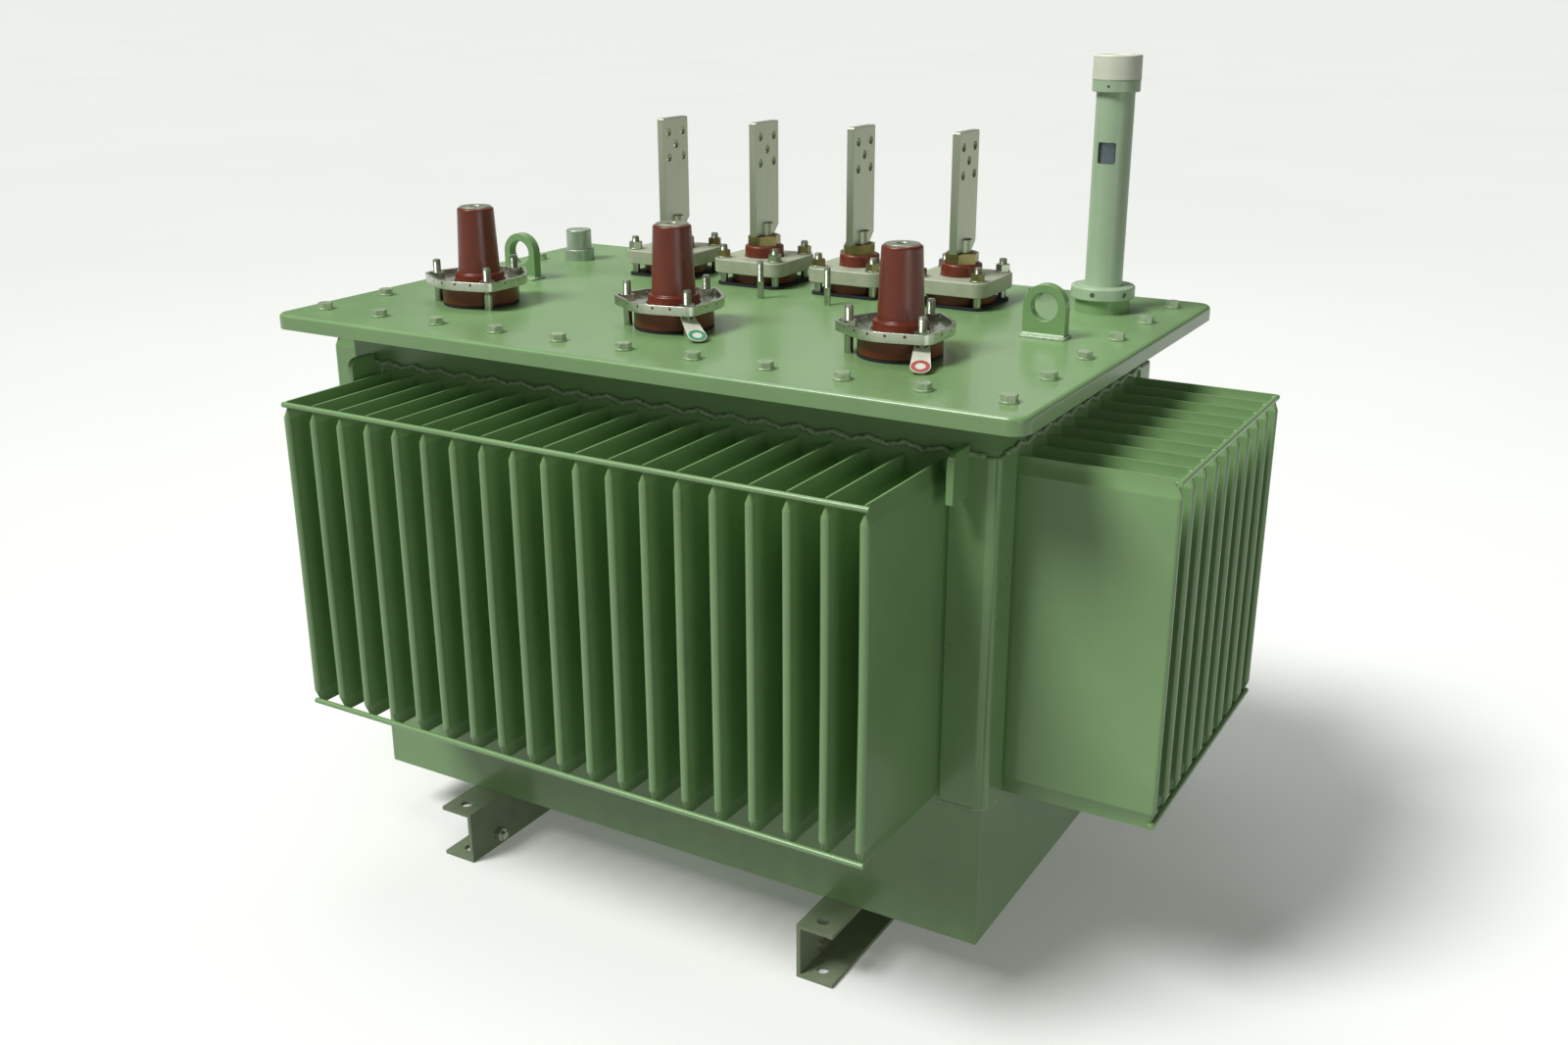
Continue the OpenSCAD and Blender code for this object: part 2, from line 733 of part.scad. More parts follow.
module on_drain(h = 0) {
    translate([drain_x, drain_y, drain_z + h]) children();
}

module drain_valve() {
    reach = drain_y - box_w / 2 + 12;
    color(paint) on_drain() difference() {
        union() {
            translate([0, 0, -24]) cylinder(r = 24, h = 74, $fn = 96);
            translate([0, 0, 50]) cylinder(r = 15, h = 12, $fn = 64);
            translate([0, -reach, 0]) rotate([-90, 0, 0])
                cylinder(r = drain_bore + 5, h = reach + 48, $fn = 64);
            translate([0, 38, 0]) rotate([-90, 0, 0]) hex_prism(36, 10);
        }
        translate([0, -reach - 1, 0]) rotate([-90, 0, 0])
            cylinder(r = drain_bore, h = reach + 50, $fn = 64);
        translate([0, 48 - drain_thread_depth, 0]) rotate([-90, 0, 0])
            cylinder(r = drain_thread_r, h = drain_thread_depth + 1, $fn = 64);
        translate([0, 0, -12]) cylinder(r = 15, h = 58, $fn = 64);
        translate([0, 0, 40]) cylinder(r = 5 + fit_gap, h = 30, $fn = 48);
    }
}

// Gate that the spindle lifts out of the passage
module drain_gate() {
    color(brass) on_drain() difference() {
        translate([0, 0, -11.5]) cylinder(r = 15 - fit_gap, h = 35.5, $fn = 64);
        translate([0, 0, -9.5]) cylinder(r = 5 + fit_gap, h = 40, $fn = 48);
    }
}

module drain_handwheel() {
    color("#2e3b2c") on_drain() {
        translate([0, 0, 12]) cylinder(r = 5, h = 66, $fn = 48);
        translate([0, 0, 70]) difference() {
            cylinder(r = 28, h = 8, $fn = 96);
            translate([0, 0, -1]) cylinder(r = 22, h = 10, $fn = 96);
        }
        translate([0, 0, 68]) cylinder(r = 9, h = 11, $fn = 48);
        for (a = [0, 120, 240]) rotate(a) translate([6, -3, 71]) cube([18, 6, 6]);
    }
}

// ---- Core and windings ----

// Stepped limb or yoke section: a stack of three rectangles that fills a circle
module stepped_bar(l) {
    for (s = [[160, 56], [136, 104], [100, 136]])
        translate([-s[0] / 2, -s[1] / 2, 0]) cube([s[0], s[1], l]);
}

module core() {
    yoke_l = 2 * limb_pitch + 160;
    color(core_steel) {
        for (x = limb_x) translate([x, 0, limb_z]) stepped_bar(window_h);
        for (z = [yoke_z, limb_z + window_h])
            translate([-yoke_l / 2, 0, z + yoke_h / 2]) rotate([0, 90, 0]) stepped_bar(yoke_l);
    }
}

// Channels along both yokes, and the tie rods that draw them together
module core_clamps() {
    l = 2 * limb_pitch + 280;
    tie_x = limb_pitch + 125;
    top_z = limb_z + window_h + 36;
    color(core_steel) {
        for (s = [-1, 1]) for (z = [tank_z + plate_t, top_z])
            translate([0, s * 68, z]) {
                translate([-l / 2, s > 0 ? 0 : -8, 0]) cube([l, 8, 118]);
                for (h = [0, 110]) translate([-l / 2, s > 0 ? 0 : -58, h]) cube([l, 58, 8]);
            }
        for (sx = [-1, 1]) for (sy = [-1, 1])
            translate([sx * tie_x, sy * 112, tank_z + plate_t + 4])
                cylinder(d = 16, h = top_z - tank_z + 114, $fn = 32);
    }
}

module on_limbs(h) {
    for (x = limb_x) translate([x, 0, limb_z + h]) children();
}

module lv_windings() {
    color(copper) on_limbs(coil_inset) sleeve(lv_coil_r, 86, window_h - 2 * coil_inset);
}

module hv_windings() {
    color("#8a4526") on_limbs(coil_inset) sleeve(hv_coil_r, 122, window_h - 2 * coil_inset);
}

// Pressboard rings between the high-voltage windings' ends and the yokes
module coil_rings() {
    color(pressboard) for (h = [0, window_h - coil_inset]) on_limbs(h)
        sleeve(hv_coil_r - 3, lv_coil_r + 4, coil_inset);
}

// A square bar between two points that lie on one line along X, Y or Z
module bar(a, b, t) {
    low = [min(a[0], b[0]) - t / 2, min(a[1], b[1]) - t / 2, min(a[2], b[2]) - t / 2];
    high = [max(a[0], b[0]) + t / 2, max(a[1], b[1]) + t / 2, max(a[2], b[2]) + t / 2];
    translate(low) cube(high - low);
}

module leads() {
    t = 12;
    coil_top = limb_z + window_h - coil_inset;
    run_z = coil_top + 22;
    cross_z = cover_top - 130;
    lv_z = cover_top - lv_stem_foot - t / 2;
    hv_z = cover_top - hv_stem_foot - t / 2;
    hv_low = coil_top - 8;
    neutral_y = 244;
    tap_t = 8;
    tap_z = selector_top + cover_top - selector_h - 40;
    color(copper) {
        // High-voltage leads, from each conductor down to its winding
        for (i = [0:2]) {
            bar([hv_x[i], hv_y, hv_z], [hv_x[i], hv_y, hv_low], t);
            bar([hv_x[i], hv_y, hv_low], [limb_x[i], hv_y, hv_low], t);
            bar([limb_x[i], hv_y, hv_low], [limb_x[i], -hv_coil_r - t / 2, hv_low], t);
        }
        // Low-voltage phase leads
        for (i = [0:2]) {
            bar([lv_x[i + 1], lv_y, lv_z], [lv_x[i + 1], lv_y, cross_z], t);
            bar([lv_x[i + 1], lv_y, cross_z], [limb_x[i], lv_y, cross_z], t);
            bar([limb_x[i], lv_y, cross_z], [limb_x[i], lv_y, run_z], t);
            bar([limb_x[i], lv_y, run_z], [limb_x[i], 98, run_z], t);
            bar([limb_x[i], 98, run_z], [limb_x[i], 98, coil_top + t / 2], t);
        }
        // Neutral bar, joined to the other end of all three windings
        bar([lv_x[0], lv_y, lv_z], [lv_x[0], neutral_y, lv_z], t);
        bar([lv_x[0], neutral_y, lv_z], [lv_x[0], neutral_y, run_z], t);
        bar([lv_x[0], neutral_y, run_z], [limb_x[2] + 60, neutral_y, run_z], t);
        for (x = limb_x) {
            bar([x + 60, neutral_y, run_z], [x + 60, 75, run_z], t);
            bar([x + 60, 75, run_z], [x + 60, 75, coil_top + t / 2], t);
        }
        // Tap leads, from the selector's foot along the windings
        bar([tap_x, tap_y, tap_z + 40 - tap_t / 2], [tap_x, tap_y, tap_z], tap_t);
        bar([tap_x, tap_y, tap_z], [limb_x[2], tap_y, tap_z], tap_t);
        for (x = limb_x) bar([x, tap_y, tap_z], [x, hv_coil_r + tap_t / 2, tap_z], tap_t);
    }
}

lower_tank();
tank_rim();
fin_wall_front();
fin_wall_back();
fin_wall_left();
fin_wall_right();
fin_tie_bars();
rail_left();
rail_right();
earth_bolts();
lashing_plates();
rating_plate();
cover_gasket();
cover();
cover_bolts();
cover_nuts();
cover_studs();
lifting_lugs();
hv_bushing(0);  // hv_bushing_a
hv_bushing(1);  // hv_bushing_b
hv_bushing(2);  // hv_bushing_c
hv_terminals();
hv_clamp_ring(0);  // hv_clamp_ring_a
hv_clamp_ring(1);  // hv_clamp_ring_b
hv_clamp_ring(2);  // hv_clamp_ring_c
phase_tags();
lv_bushing(0);  // lv_bushing_n
lv_bushing(1);  // lv_bushing_a
lv_bushing(2);  // lv_bushing_b
lv_bushing(3);  // lv_bushing_c
lv_palm(0);  // lv_palm_n
lv_palm(1);  // lv_palm_a
lv_palm(2);  // lv_palm_b
lv_palm(3);  // lv_palm_c
lv_clamp_plates();
lv_stem_nuts();
bushing_gaskets();
bushing_studs();
bushing_nuts();
column_socket();
column_flange();
column_tube();
column_collar();
sight_glass();
level_float();
cap_seal();
filler_cap();
tap_gland();
tap_cap();
tap_spindle();
tap_selector();
drain_valve();
drain_gate();
drain_handwheel();
core();
core_clamps();
lv_windings();
hv_windings();
coil_rings();
leads();
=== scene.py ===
import json
import math
import random

import bmesh
import bpy
from mathutils import Euler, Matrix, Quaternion, Vector

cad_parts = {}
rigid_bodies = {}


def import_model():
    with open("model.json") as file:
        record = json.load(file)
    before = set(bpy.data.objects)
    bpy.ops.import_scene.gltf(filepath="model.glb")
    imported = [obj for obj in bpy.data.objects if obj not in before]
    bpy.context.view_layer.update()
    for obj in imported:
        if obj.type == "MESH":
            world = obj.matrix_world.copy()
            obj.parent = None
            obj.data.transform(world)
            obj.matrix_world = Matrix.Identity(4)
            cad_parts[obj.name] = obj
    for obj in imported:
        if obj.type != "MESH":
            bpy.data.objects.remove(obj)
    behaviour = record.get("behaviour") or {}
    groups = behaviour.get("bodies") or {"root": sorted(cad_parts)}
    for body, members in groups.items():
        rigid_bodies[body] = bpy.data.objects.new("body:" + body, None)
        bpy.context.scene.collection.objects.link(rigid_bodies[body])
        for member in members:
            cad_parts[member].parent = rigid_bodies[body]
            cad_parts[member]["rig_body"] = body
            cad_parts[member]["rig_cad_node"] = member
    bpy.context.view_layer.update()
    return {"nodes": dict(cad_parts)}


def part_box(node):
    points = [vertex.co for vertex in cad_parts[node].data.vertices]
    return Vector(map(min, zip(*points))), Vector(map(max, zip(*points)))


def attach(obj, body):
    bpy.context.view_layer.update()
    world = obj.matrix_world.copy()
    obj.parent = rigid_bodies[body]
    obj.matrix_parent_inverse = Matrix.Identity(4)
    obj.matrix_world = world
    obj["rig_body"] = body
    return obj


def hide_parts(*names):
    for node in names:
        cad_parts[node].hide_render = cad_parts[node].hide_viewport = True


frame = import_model()
random.seed(12)
print("frame loaded:", len(frame["nodes"]), "CAD nodes")


def hexColour(text):
    channels = [int(text[i:i + 2], 16) / 255 for i in (1, 3, 5)]
    linear = [c / 12.92 if c <= 0.04045 else ((c + 0.055) / 1.055) ** 2.4 for c in channels]
    return (*linear, 1.0)


def useOnly(piece):
    if bpy.context.object and bpy.context.object.mode != "OBJECT":
        bpy.ops.object.mode_set(mode="OBJECT")
    bpy.ops.object.select_all(action="DESELECT")
    piece.select_set(True)
    bpy.context.view_layer.objects.active = piece


def named(name):
    piece = bpy.context.object
    piece.name = name
    piece.data.name = name
    bpy.ops.object.transform_apply(location=True, rotation=True, scale=True)
    return piece


def block(name, low, high):
    low, high = Vector(low), Vector(high)
    bpy.ops.object.select_all(action="DESELECT")
    bpy.ops.mesh.primitive_cube_add(size=1, location=(low + high) / 2)
    bpy.context.object.scale = high - low
    return named(name)


def rod(name, radius, foot, top, sides=32):
    foot, top = Vector(foot), Vector(top)
    turn = (top - foot).to_track_quat("Z", "Y").to_euler()
    bpy.ops.object.select_all(action="DESELECT")
    bpy.ops.mesh.primitive_cylinder_add(vertices=sides, radius=radius, depth=(top - foot).length,
                                        location=(foot + top) / 2, rotation=turn)
    return named(name)


def choose(piece, kind, test):
    # opens the piece for editing with only the parts selected whose place and direction pass
    useOnly(piece)
    bpy.ops.object.mode_set(mode="EDIT")
    bpy.ops.mesh.select_mode(type={"verts": "VERT", "edges": "EDGE", "faces": "FACE"}[kind])
    bpy.ops.mesh.select_all(action="DESELECT")
    mesh = bmesh.from_edit_mesh(piece.data)
    for part in getattr(mesh, kind):
        if kind == "edges":
            a, b = (v.co for v in part.verts)
            place, way = (a + b) / 2, (b - a).normalized()
        elif kind == "faces":
            place, way = part.calc_center_median(), part.normal
        else:
            place, way = part.co, part.normal
        part.select_set(bool(test(place, way)))
    bmesh.update_edit_mesh(piece.data)


def closeEdit():
    bpy.ops.object.mode_set(mode="OBJECT")


def roundEdges(piece, width, segments, test):
    choose(piece, "edges", test)
    bpy.ops.mesh.bevel(offset=width, segments=segments, affect="EDGES")
    closeEdit()


def sliceAt(piece, place, way):
    choose(piece, "faces", lambda p, n: True)
    bpy.ops.mesh.bisect(plane_co=place, plane_no=way)
    closeEdit()


def applyModifier(piece, kind, **settings):
    useOnly(piece)
    step = piece.modifiers.new(kind.title(), kind)
    for key, value in settings.items():
        setattr(step, key, value)
    bpy.ops.object.modifier_apply(modifier=step.name)


def soften(piece, width, angle=32, segments=2):
    applyModifier(piece, "BEVEL", width=width, segments=segments, limit_method="ANGLE",
                  angle_limit=math.radians(angle))


def joined(pieces, name):
    useOnly(pieces[0])
    for piece in pieces:
        piece.select_set(True)
    if len(pieces) > 1:
        bpy.ops.object.join()
    whole = bpy.context.object
    whole.name = name
    whole.data.name = name
    return whole


def cut(piece, tool, how="DIFFERENCE"):
    applyModifier(piece, "BOOLEAN", operation=how, solver="EXACT", object=tool)
    bpy.data.objects.remove(tool)


def drill(piece, spots, radius, depth, way=(0, 0, 1), sides=32):
    half = Vector(way).normalized() * depth / 2
    bits = [rod("bit", radius, Vector(s) - half, Vector(s) + half, sides) for s in spots]
    cut(piece, joined(bits, "bit"))


def copyTo(piece, place, turn=0, name="copy"):
    # a copy with its own mesh, turned about Z and then put at the place
    twin = piece.copy()
    twin.data = piece.data.copy()
    bpy.context.scene.collection.objects.link(twin)
    twin.rotation_euler = (0, 0, turn)
    twin.location = place
    useOnly(twin)
    return named(name)


def takeNode(node, name):
    # a copy of a CAD node, its triangles merged and its flat faces made whole again
    piece = frame["nodes"][node].copy()
    piece.data = piece.data.copy()
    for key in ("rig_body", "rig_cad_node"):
        del piece[key]
    piece.parent = None
    bpy.context.scene.collection.objects.link(piece)
    piece.name = name
    piece.data.name = name
    choose(piece, "faces", lambda p, n: True)
    bpy.ops.mesh.remove_doubles(threshold=0.00001)
    bpy.ops.mesh.dissolve_limited(angle_limit=math.radians(0.5))
    closeEdit()
    piece.data.materials.clear()
    return piece


def filleted(outline, steps=4):
    # an outline's corners (radius, height, bend) become arcs
    smooth = []
    for i, (r, z, bend) in enumerate(outline):
        here = Vector((r, z))
        if bend == 0:
            smooth.append((r, z))
            continue
        back = (Vector(outline[i - 1][:2]) - here).normalized()
        ahead = (Vector(outline[i + 1][:2]) - here).normalized()
        reach = bend / math.tan(back.angle(ahead) / 2)
        start, end = here + back * reach, here + ahead * reach
        for k in range(steps + 1):
            t = k / steps
            smooth.append(tuple((1 - t) ** 2 * start + 2 * t * (1 - t) * here + t * t * end))
    return smooth


def lathe(name, outline, centre, sides=64):
    # one vertex drawn out along the outline and spun about Z
    points = filleted(outline)
    bpy.ops.object.select_all(action="DESELECT")
    bpy.ops.mesh.primitive_plane_add(size=0.01)
    piece = named(name)
    bpy.ops.object.mode_set(mode="EDIT")
    bpy.ops.mesh.select_mode(type="VERT")
    bpy.ops.mesh.select_all(action="SELECT")
    bpy.ops.mesh.merge(type="CENTER")
    bpy.ops.transform.translate(value=(points[0][0], 0, points[0][1]))
    for (r0, z0), (r1, z1) in zip(points, points[1:]):
        bpy.ops.mesh.extrude_region_move(TRANSFORM_OT_translate={"value": (r1 - r0, 0, z1 - z0)})
    bpy.ops.mesh.select_all(action="SELECT")
    bpy.ops.mesh.spin(steps=sides, angle=2 * math.pi, center=(0, 0, 0), axis=(0, 0, 1))
    bpy.ops.mesh.select_all(action="SELECT")
    bpy.ops.mesh.remove_doubles(threshold=0.00002)
    bpy.ops.mesh.normals_make_consistent(inside=False)
    closeEdit()
    piece.location = centre
    return named(name)


def finishPiece(piece, material, body="tank", stands=(), angle=35):
    useOnly(piece)
    if not piece.data.materials:
        piece.data.materials.append(material)
    bpy.ops.object.shade_smooth_by_angle(angle=math.radians(angle))
    applyModifier(piece, "WEIGHTED_NORMAL", keep_sharp=True)
    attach(piece, body)
    if stands:
        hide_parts(*stands)
    return piece


def middle(node):
    low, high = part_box(node)
    return (low + high) / 2


def addNode(material, kind, values=None, links=None):
    made = material.node_tree.nodes.new("ShaderNode" + kind)
    for name, value in (values or {}).items():
        if isinstance(name, int) or name in made.inputs.keys():
            made.inputs[name].default_value = value
        else:
            setattr(made, name, value)
    for name, socket in (links or {}).items():
        material.node_tree.links.new(socket, made.inputs[name])
    return made


def surface(name, tones, patch, gloss, metallic=0.0, grains=(), stretch=(1, 1, 1), shader=None):
    # tones: two colours, mottled over patches of that size in metres; gloss: lowest and highest
    # roughness; grains: size and height in metres of each relief, coarse ones first
    material = bpy.data.materials.new(name)
    material.use_nodes = True
    material.node_tree.nodes.clear()
    place = addNode(material, "TexCoord")
    along = addNode(material, "Mapping", {"Scale": stretch}, {"Vector": place.outputs["Object"]})
    mottle = addNode(material, "TexNoise", {"Scale": 1 / patch, "Detail": 5.0, "Roughness": 0.6},
                     {"Vector": along.outputs["Vector"]})
    spread = addNode(material, "MapRange", {"From Min": 0.32, "From Max": 0.68},
                     {"Value": mottle.outputs["Fac"]})
    tone = addNode(material, "Mix", {"data_type": "RGBA", 6: hexColour(tones[0]), 7: hexColour(tones[1])},
                   {0: spread.outputs["Result"]})
    rough = addNode(material, "MapRange",
                    {"From Min": 0.32, "From Max": 0.68, "To Min": gloss[0], "To Max": gloss[1]},
                    {"Value": mottle.outputs["Fac"]})
    skin = addNode(material, "BsdfPrincipled", {"Metallic": metallic, **(shader or {})},
                   {"Base Color": tone.outputs[2], "Roughness": rough.outputs["Result"]})
    relief = None
    for size, height in grains:
        grain = addNode(material, "TexNoise", {"Scale": 1 / size, "Detail": 2.0},
                        {"Vector": along.outputs["Vector"]})
        links = {"Height": grain.outputs["Fac"]}
        if relief:
            links["Normal"] = relief.outputs["Normal"]
        relief = addNode(material, "Bump", {"Strength": 1.0, "Distance": height}, links)
    if relief:
        material.node_tree.links.new(relief.outputs["Normal"], skin.inputs["Normal"])
    addNode(material, "OutputMaterial", None, {"Surface": skin.outputs["BSDF"]})
    return material


finish = {
    # two-pack enamel, sprayed: fine orange peel, and long soft waves where the sheet was rolled
    "enamel": surface("sprayedGreenEnamel", ("#7a9e67", "#85aa72"), 0.22, (0.26, 0.36),
                      grains=((0.30, 0.0004), (0.0035, 0.00002)),
                      shader={"IOR": 1.5, "Coat Weight": 0.15, "Coat Roughness": 0.1}),
    # the same enamel greyed by floor dust: duller and flatter in colour
    "dustyEnamel": surface("dustyGreenEnamel", ("#78886a", "#8a9379"), 0.04, (0.42, 0.6),
                           grains=((0.003, 0.00004),), shader={"IOR": 1.5}),
    # factory enamel of the bought-in gauge column: greyer, thin and even
    "columnEnamel": surface("greyGreenEnamel", ("#a3bb9a", "#aec5a5"), 0.06, (0.30, 0.40),
                            grains=((0.002, 0.000015),), shader={"IOR": 1.5}),
    # bright zinc plate on turned and cold-headed steel: grey, a little cloudy
    "zinc": surface("zincPlatedSteel", ("#a9b09c", "#c6cbb9"), 0.02, (0.30, 0.44), 1.0,
                    grains=((0.0012, 0.00001),)),
    # zinc plate gone dull under handling: darker grey-green, satin
    "dullZinc": surface("weatheredZinc", ("#a7b5a4", "#b7c2b2"), 0.012, (0.36, 0.5), 0.6,
                        grains=((0.0012, 0.00002),)),
    # zinc-plated bolt heads caught by the paint's overspray, half metal, half enamel; their pale green is
    # also painted sheen, standing in for the light of the green enamel they reflect
    "mistedZincPaintedSheen": surface("oversprayedZincPaintedSheen", ("#9fb48f", "#b9c8ab"), 0.008, (0.28, 0.42), 0.35,
                          grains=((0.0012, 0.00002),)),
    # enamel over weld metal, glossy; its pale grey-green, lighter than the wall's enamel, is painted
    # highlight standing in for the light the bead catches
    "bead": surface("enamelledWeldPaintedHighlight", ("#8fa880", "#b5c4a8"), 0.006, (0.18, 0.32),
                    grains=((0.0022, 0.00008),), shader={"IOR": 1.5}),
    # tin plate on copper bar: soft satin sheen with drawing marks along the bar
    "tinned": surface("tinPlatedCopper", ("#a3ab95", "#b7bda9"), 0.03, (0.38, 0.5), 1.0,
                      grains=((0.0015, 0.00002),), stretch=(1, 1, 0.12)),
    # gravity-cast aluminium, bead blasted: pale with an even fine grain
    "castAluminium": surface("castAluminium", ("#c0c4b4", "#d6d9cb"), 0.012, (0.24, 0.38), 1.0,
                             grains=((0.0016, 0.00004),)),
    # pressure-gelled epoxy resin: red-brown, semi-gloss, faint flow marks from the mould
    "resin": surface("mouldedEpoxyResin", ("#66240f", "#732e17"), 0.03, (0.30, 0.40),
                     grains=((0.004, 0.00003),), shader={"IOR": 1.55}),
    # glass-filled polyester moulding: light warm grey, dull
    "moulded": surface("mouldedPolyester", ("#a2a78f", "#b0b59d"), 0.02, (0.42, 0.55),
                       grains=((0.0014, 0.00003),), shader={"IOR": 1.52}),
    # cork-filled nitrile rubber sheet, cut: black, matt
    "nitrile": surface("cutNitrileRubber", ("#17191b", "#23262a"), 0.006, (0.62, 0.8),
                       grains=((0.0012, 0.00006),), shader={"IOR": 1.52}),
    # free-cutting brass, milled: yellow, tarnished in patches
    "brass": surface("milledBrass", ("#857b54", "#a09464"), 0.012, (0.32, 0.46), 1.0,
                     grains=((0.0009, 0.00001),)),
    # polypropylene, injection moulded and a little yellowed: soft sheen
    "capPlastic": surface("mouldedPolypropylene", ("#d8dcc9", "#e4e6d6"), 0.03, (0.38, 0.5),
                          grains=((0.0018, 0.00002),), shader={"IOR": 1.49}),
    # ABS, moulded glossy: dark blue indicator drum
    "indicator": surface("mouldedBlueAbs", ("#1b2b45", "#23385a"), 0.02, (0.22, 0.3),
                         grains=((0.003, 0.00001),), shader={"IOR": 1.54}),
    # extruded acrylic tube: clear, polished by the die
    "clear": surface("clearAcrylic", ("#c7dbe4", "#d6e6ec"), 0.05, (0.03, 0.07),
                     shader={"IOR": 1.49, "Transmission Weight": 0.92}),
    # laminated label stock: off-white, satin; its printed bands have the same film over them
    "tagWhite": surface("whiteLaminate", ("#c9cbb9", "#d6d8c8"), 0.01, (0.35, 0.45),
                        grains=((0.002, 0.00001),), shader={"IOR": 1.5}),
    "tagGreen": surface("greenPrint", ("#1f8560", "#2c946c"), 0.008, (0.38, 0.48),
                        grains=((0.002, 0.00001),), shader={"IOR": 1.5}),
    "tagRed": surface("redPrint", ("#a5352c", "#b2443a"), 0.008, (0.38, 0.48),
                      grains=((0.002, 0.00001),), shader={"IOR": 1.5}),
    # brushed aluminium plate: long straight brush marks
    "plate": surface("brushedAluminium", ("#b5b8b4", "#cfd1ce"), 0.01, (0.28, 0.42), 1.0,
                     grains=((0.0012, 0.00001),), stretch=(0.05, 1, 1)),
    # cast iron under dark enamel: sand-cast grain
    "iron": surface("darkCastIron", ("#263126", "#334033"), 0.02, (0.4, 0.55),
                    grains=((0.002, 0.00008),), shader={"IOR": 1.5}),
    # pressed cellulose board soaked with oil: brown, fibrous
    "board": surface("oiledPressboard", ("#8a6a3a", "#a88653"), 0.01, (0.5, 0.7),
                     grains=((0.002, 0.00008),), stretch=(1, 1, 0.3), shader={"IOR": 1.5}),
    # cold-rolled silicon steel, stacked edge-on: blue-grey with fine lines
    "steel": surface("stackedCoreSteel", ("#4c5158", "#6a7078"), 0.004, (0.35, 0.5), 1.0,
                     grains=((0.0022, 0.00006),), stretch=(0.05, 1, 0.05)),
    # enamelled copper wire, wound: red-brown turns one above another
    "winding": surface("enamelledCopper", ("#7a3a1c", "#9a5228"), 0.006, (0.3, 0.45), 0.6,
                       grains=((0.003, 0.0003),), stretch=(0.04, 0.04, 1)),
}
print("materials:", len(finish))


# the room: floor, camera and lights
stage = {"floorSize": 800, "floorTones": ("#f3f4f1", "#f5f6f3"), "seen": "#f0f2ee", "fill": "#e4ebe0",
         "fillStrength": 0.15, "floorGlow": 0.14}
bpy.ops.object.select_all(action="DESELECT")
bpy.ops.mesh.primitive_grid_add(x_subdivisions=8, y_subdivisions=8, size=stage["floorSize"])
floor = named("studioFloor")
floor.data.materials.append(surface("paleFloor", stage["floorTones"], 2.5, (0.8, 0.9), shader={
    "Emission Color": hexColour(stage["seen"]), "Emission Strength": stage["floorGlow"]}))
floor.visible_diffuse = False   # the floor throws no light back up, so that the sides stay deep

cameraView = {"place": (1.1842, -1.9220, 1.2925), "azimuth": 30.33, "elevation": 19.291,
              "roll": -0.143, "lens": 35.33}
bpy.ops.object.camera_add(location=cameraView["place"])
camera = bpy.context.object
camera.data.lens = cameraView["lens"]
camera.data.sensor_width = 36
camera.rotation_mode = "QUATERNION"
aim = Euler((math.radians(90 - cameraView["elevation"]), 0, math.radians(cameraView["azimuth"])))
camera.rotation_quaternion = aim.to_quaternion() @ Quaternion((0, 0, 1), math.radians(cameraView["roll"]))
bpy.context.scene.camera = camera

keyLight = {"from": (-0.42, -0.60, 0.96), "strength": 2.9, "spread": 22}   # a wide soft key, far off
bpy.ops.object.light_add(type="SUN", location=(-3, -5, 6))
lamp = bpy.context.object
lamp.name = "keyLight"
lamp.data.energy = keyLight["strength"]
lamp.data.angle = math.radians(keyLight["spread"])
lamp.rotation_euler = Vector(keyLight["from"]).to_track_quat("Z", "Y").to_euler()

softboxes = {   # place, point lit, width, height, watts
    "topBox": ((-0.6, 0.4, 3.4), (0.0, 0.0, 0.8), 2.0, 1.4, 24),
    "backBox": ((-2.6, 4.2, 2.6), (0.0, 0.2, 0.8), 3.2, 1.2, 9),
    "rightBox": ((4.2, -2.4, 1.3), (0.4, -0.2, 0.5), 1.8, 1.8, 28),
}
for name, (place, target, width, height, watts) in softboxes.items():
    bpy.ops.object.light_add(type="AREA", location=place)
    lamp = bpy.context.object
    lamp.name = name
    lamp.data.shape = "RECTANGLE"
    lamp.data.size, lamp.data.size_y, lamp.data.energy = width, height, watts
    lamp.rotation_euler = (Vector(target) - Vector(place)).to_track_quat("-Z", "Y").to_euler()

# the backdrop is white to look at, and lights the object more dimly than it looks
world = bpy.data.worlds.new("studioWorld")
world.use_nodes = True
world.node_tree.nodes.clear()
seen = addNode(world, "Background", {"Color": hexColour(stage["seen"]), "Strength": 1.0})
fill = addNode(world, "Background", {"Color": hexColour(stage["fill"]), "Strength": stage["fillStrength"]})
ray = addNode(world, "LightPath")
both = addNode(world, "MixShader", None, {0: ray.outputs["Is Camera Ray"], 1: fill.outputs[0],
                                          2: seen.outputs[0]})
addNode(world, "OutputWorld", None, {"Surface": both.outputs[0]})
bpy.context.scene.world = world
bpy.context.scene.view_settings.view_transform = "Standard"
print("stage ready")


# cover: a folded plate, open underneath
coverPlate = {"sheet": 0.005, "cornerRadius": 0.024, "foldRadius": 0.006,
              "hvHole": 0.035, "lvHole": 0.033, "columnHole": 0.024, "tapHole": 0.016, "drillDepth": 0.03}
coverLow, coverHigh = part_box("cover")
coverTop = coverHigh.z
hvCentres = [Vector((*middle("hv_bushing_" + k).xy, coverTop)) for k in "abc"]
lvCentres = [Vector((*middle("lv_bushing_" + k).xy, coverTop)) for k in "nabc"]
columnCentre = Vector((*middle("column_socket").xy, coverTop))
tapCentre = Vector((*middle("tap_cap").xy, coverTop))

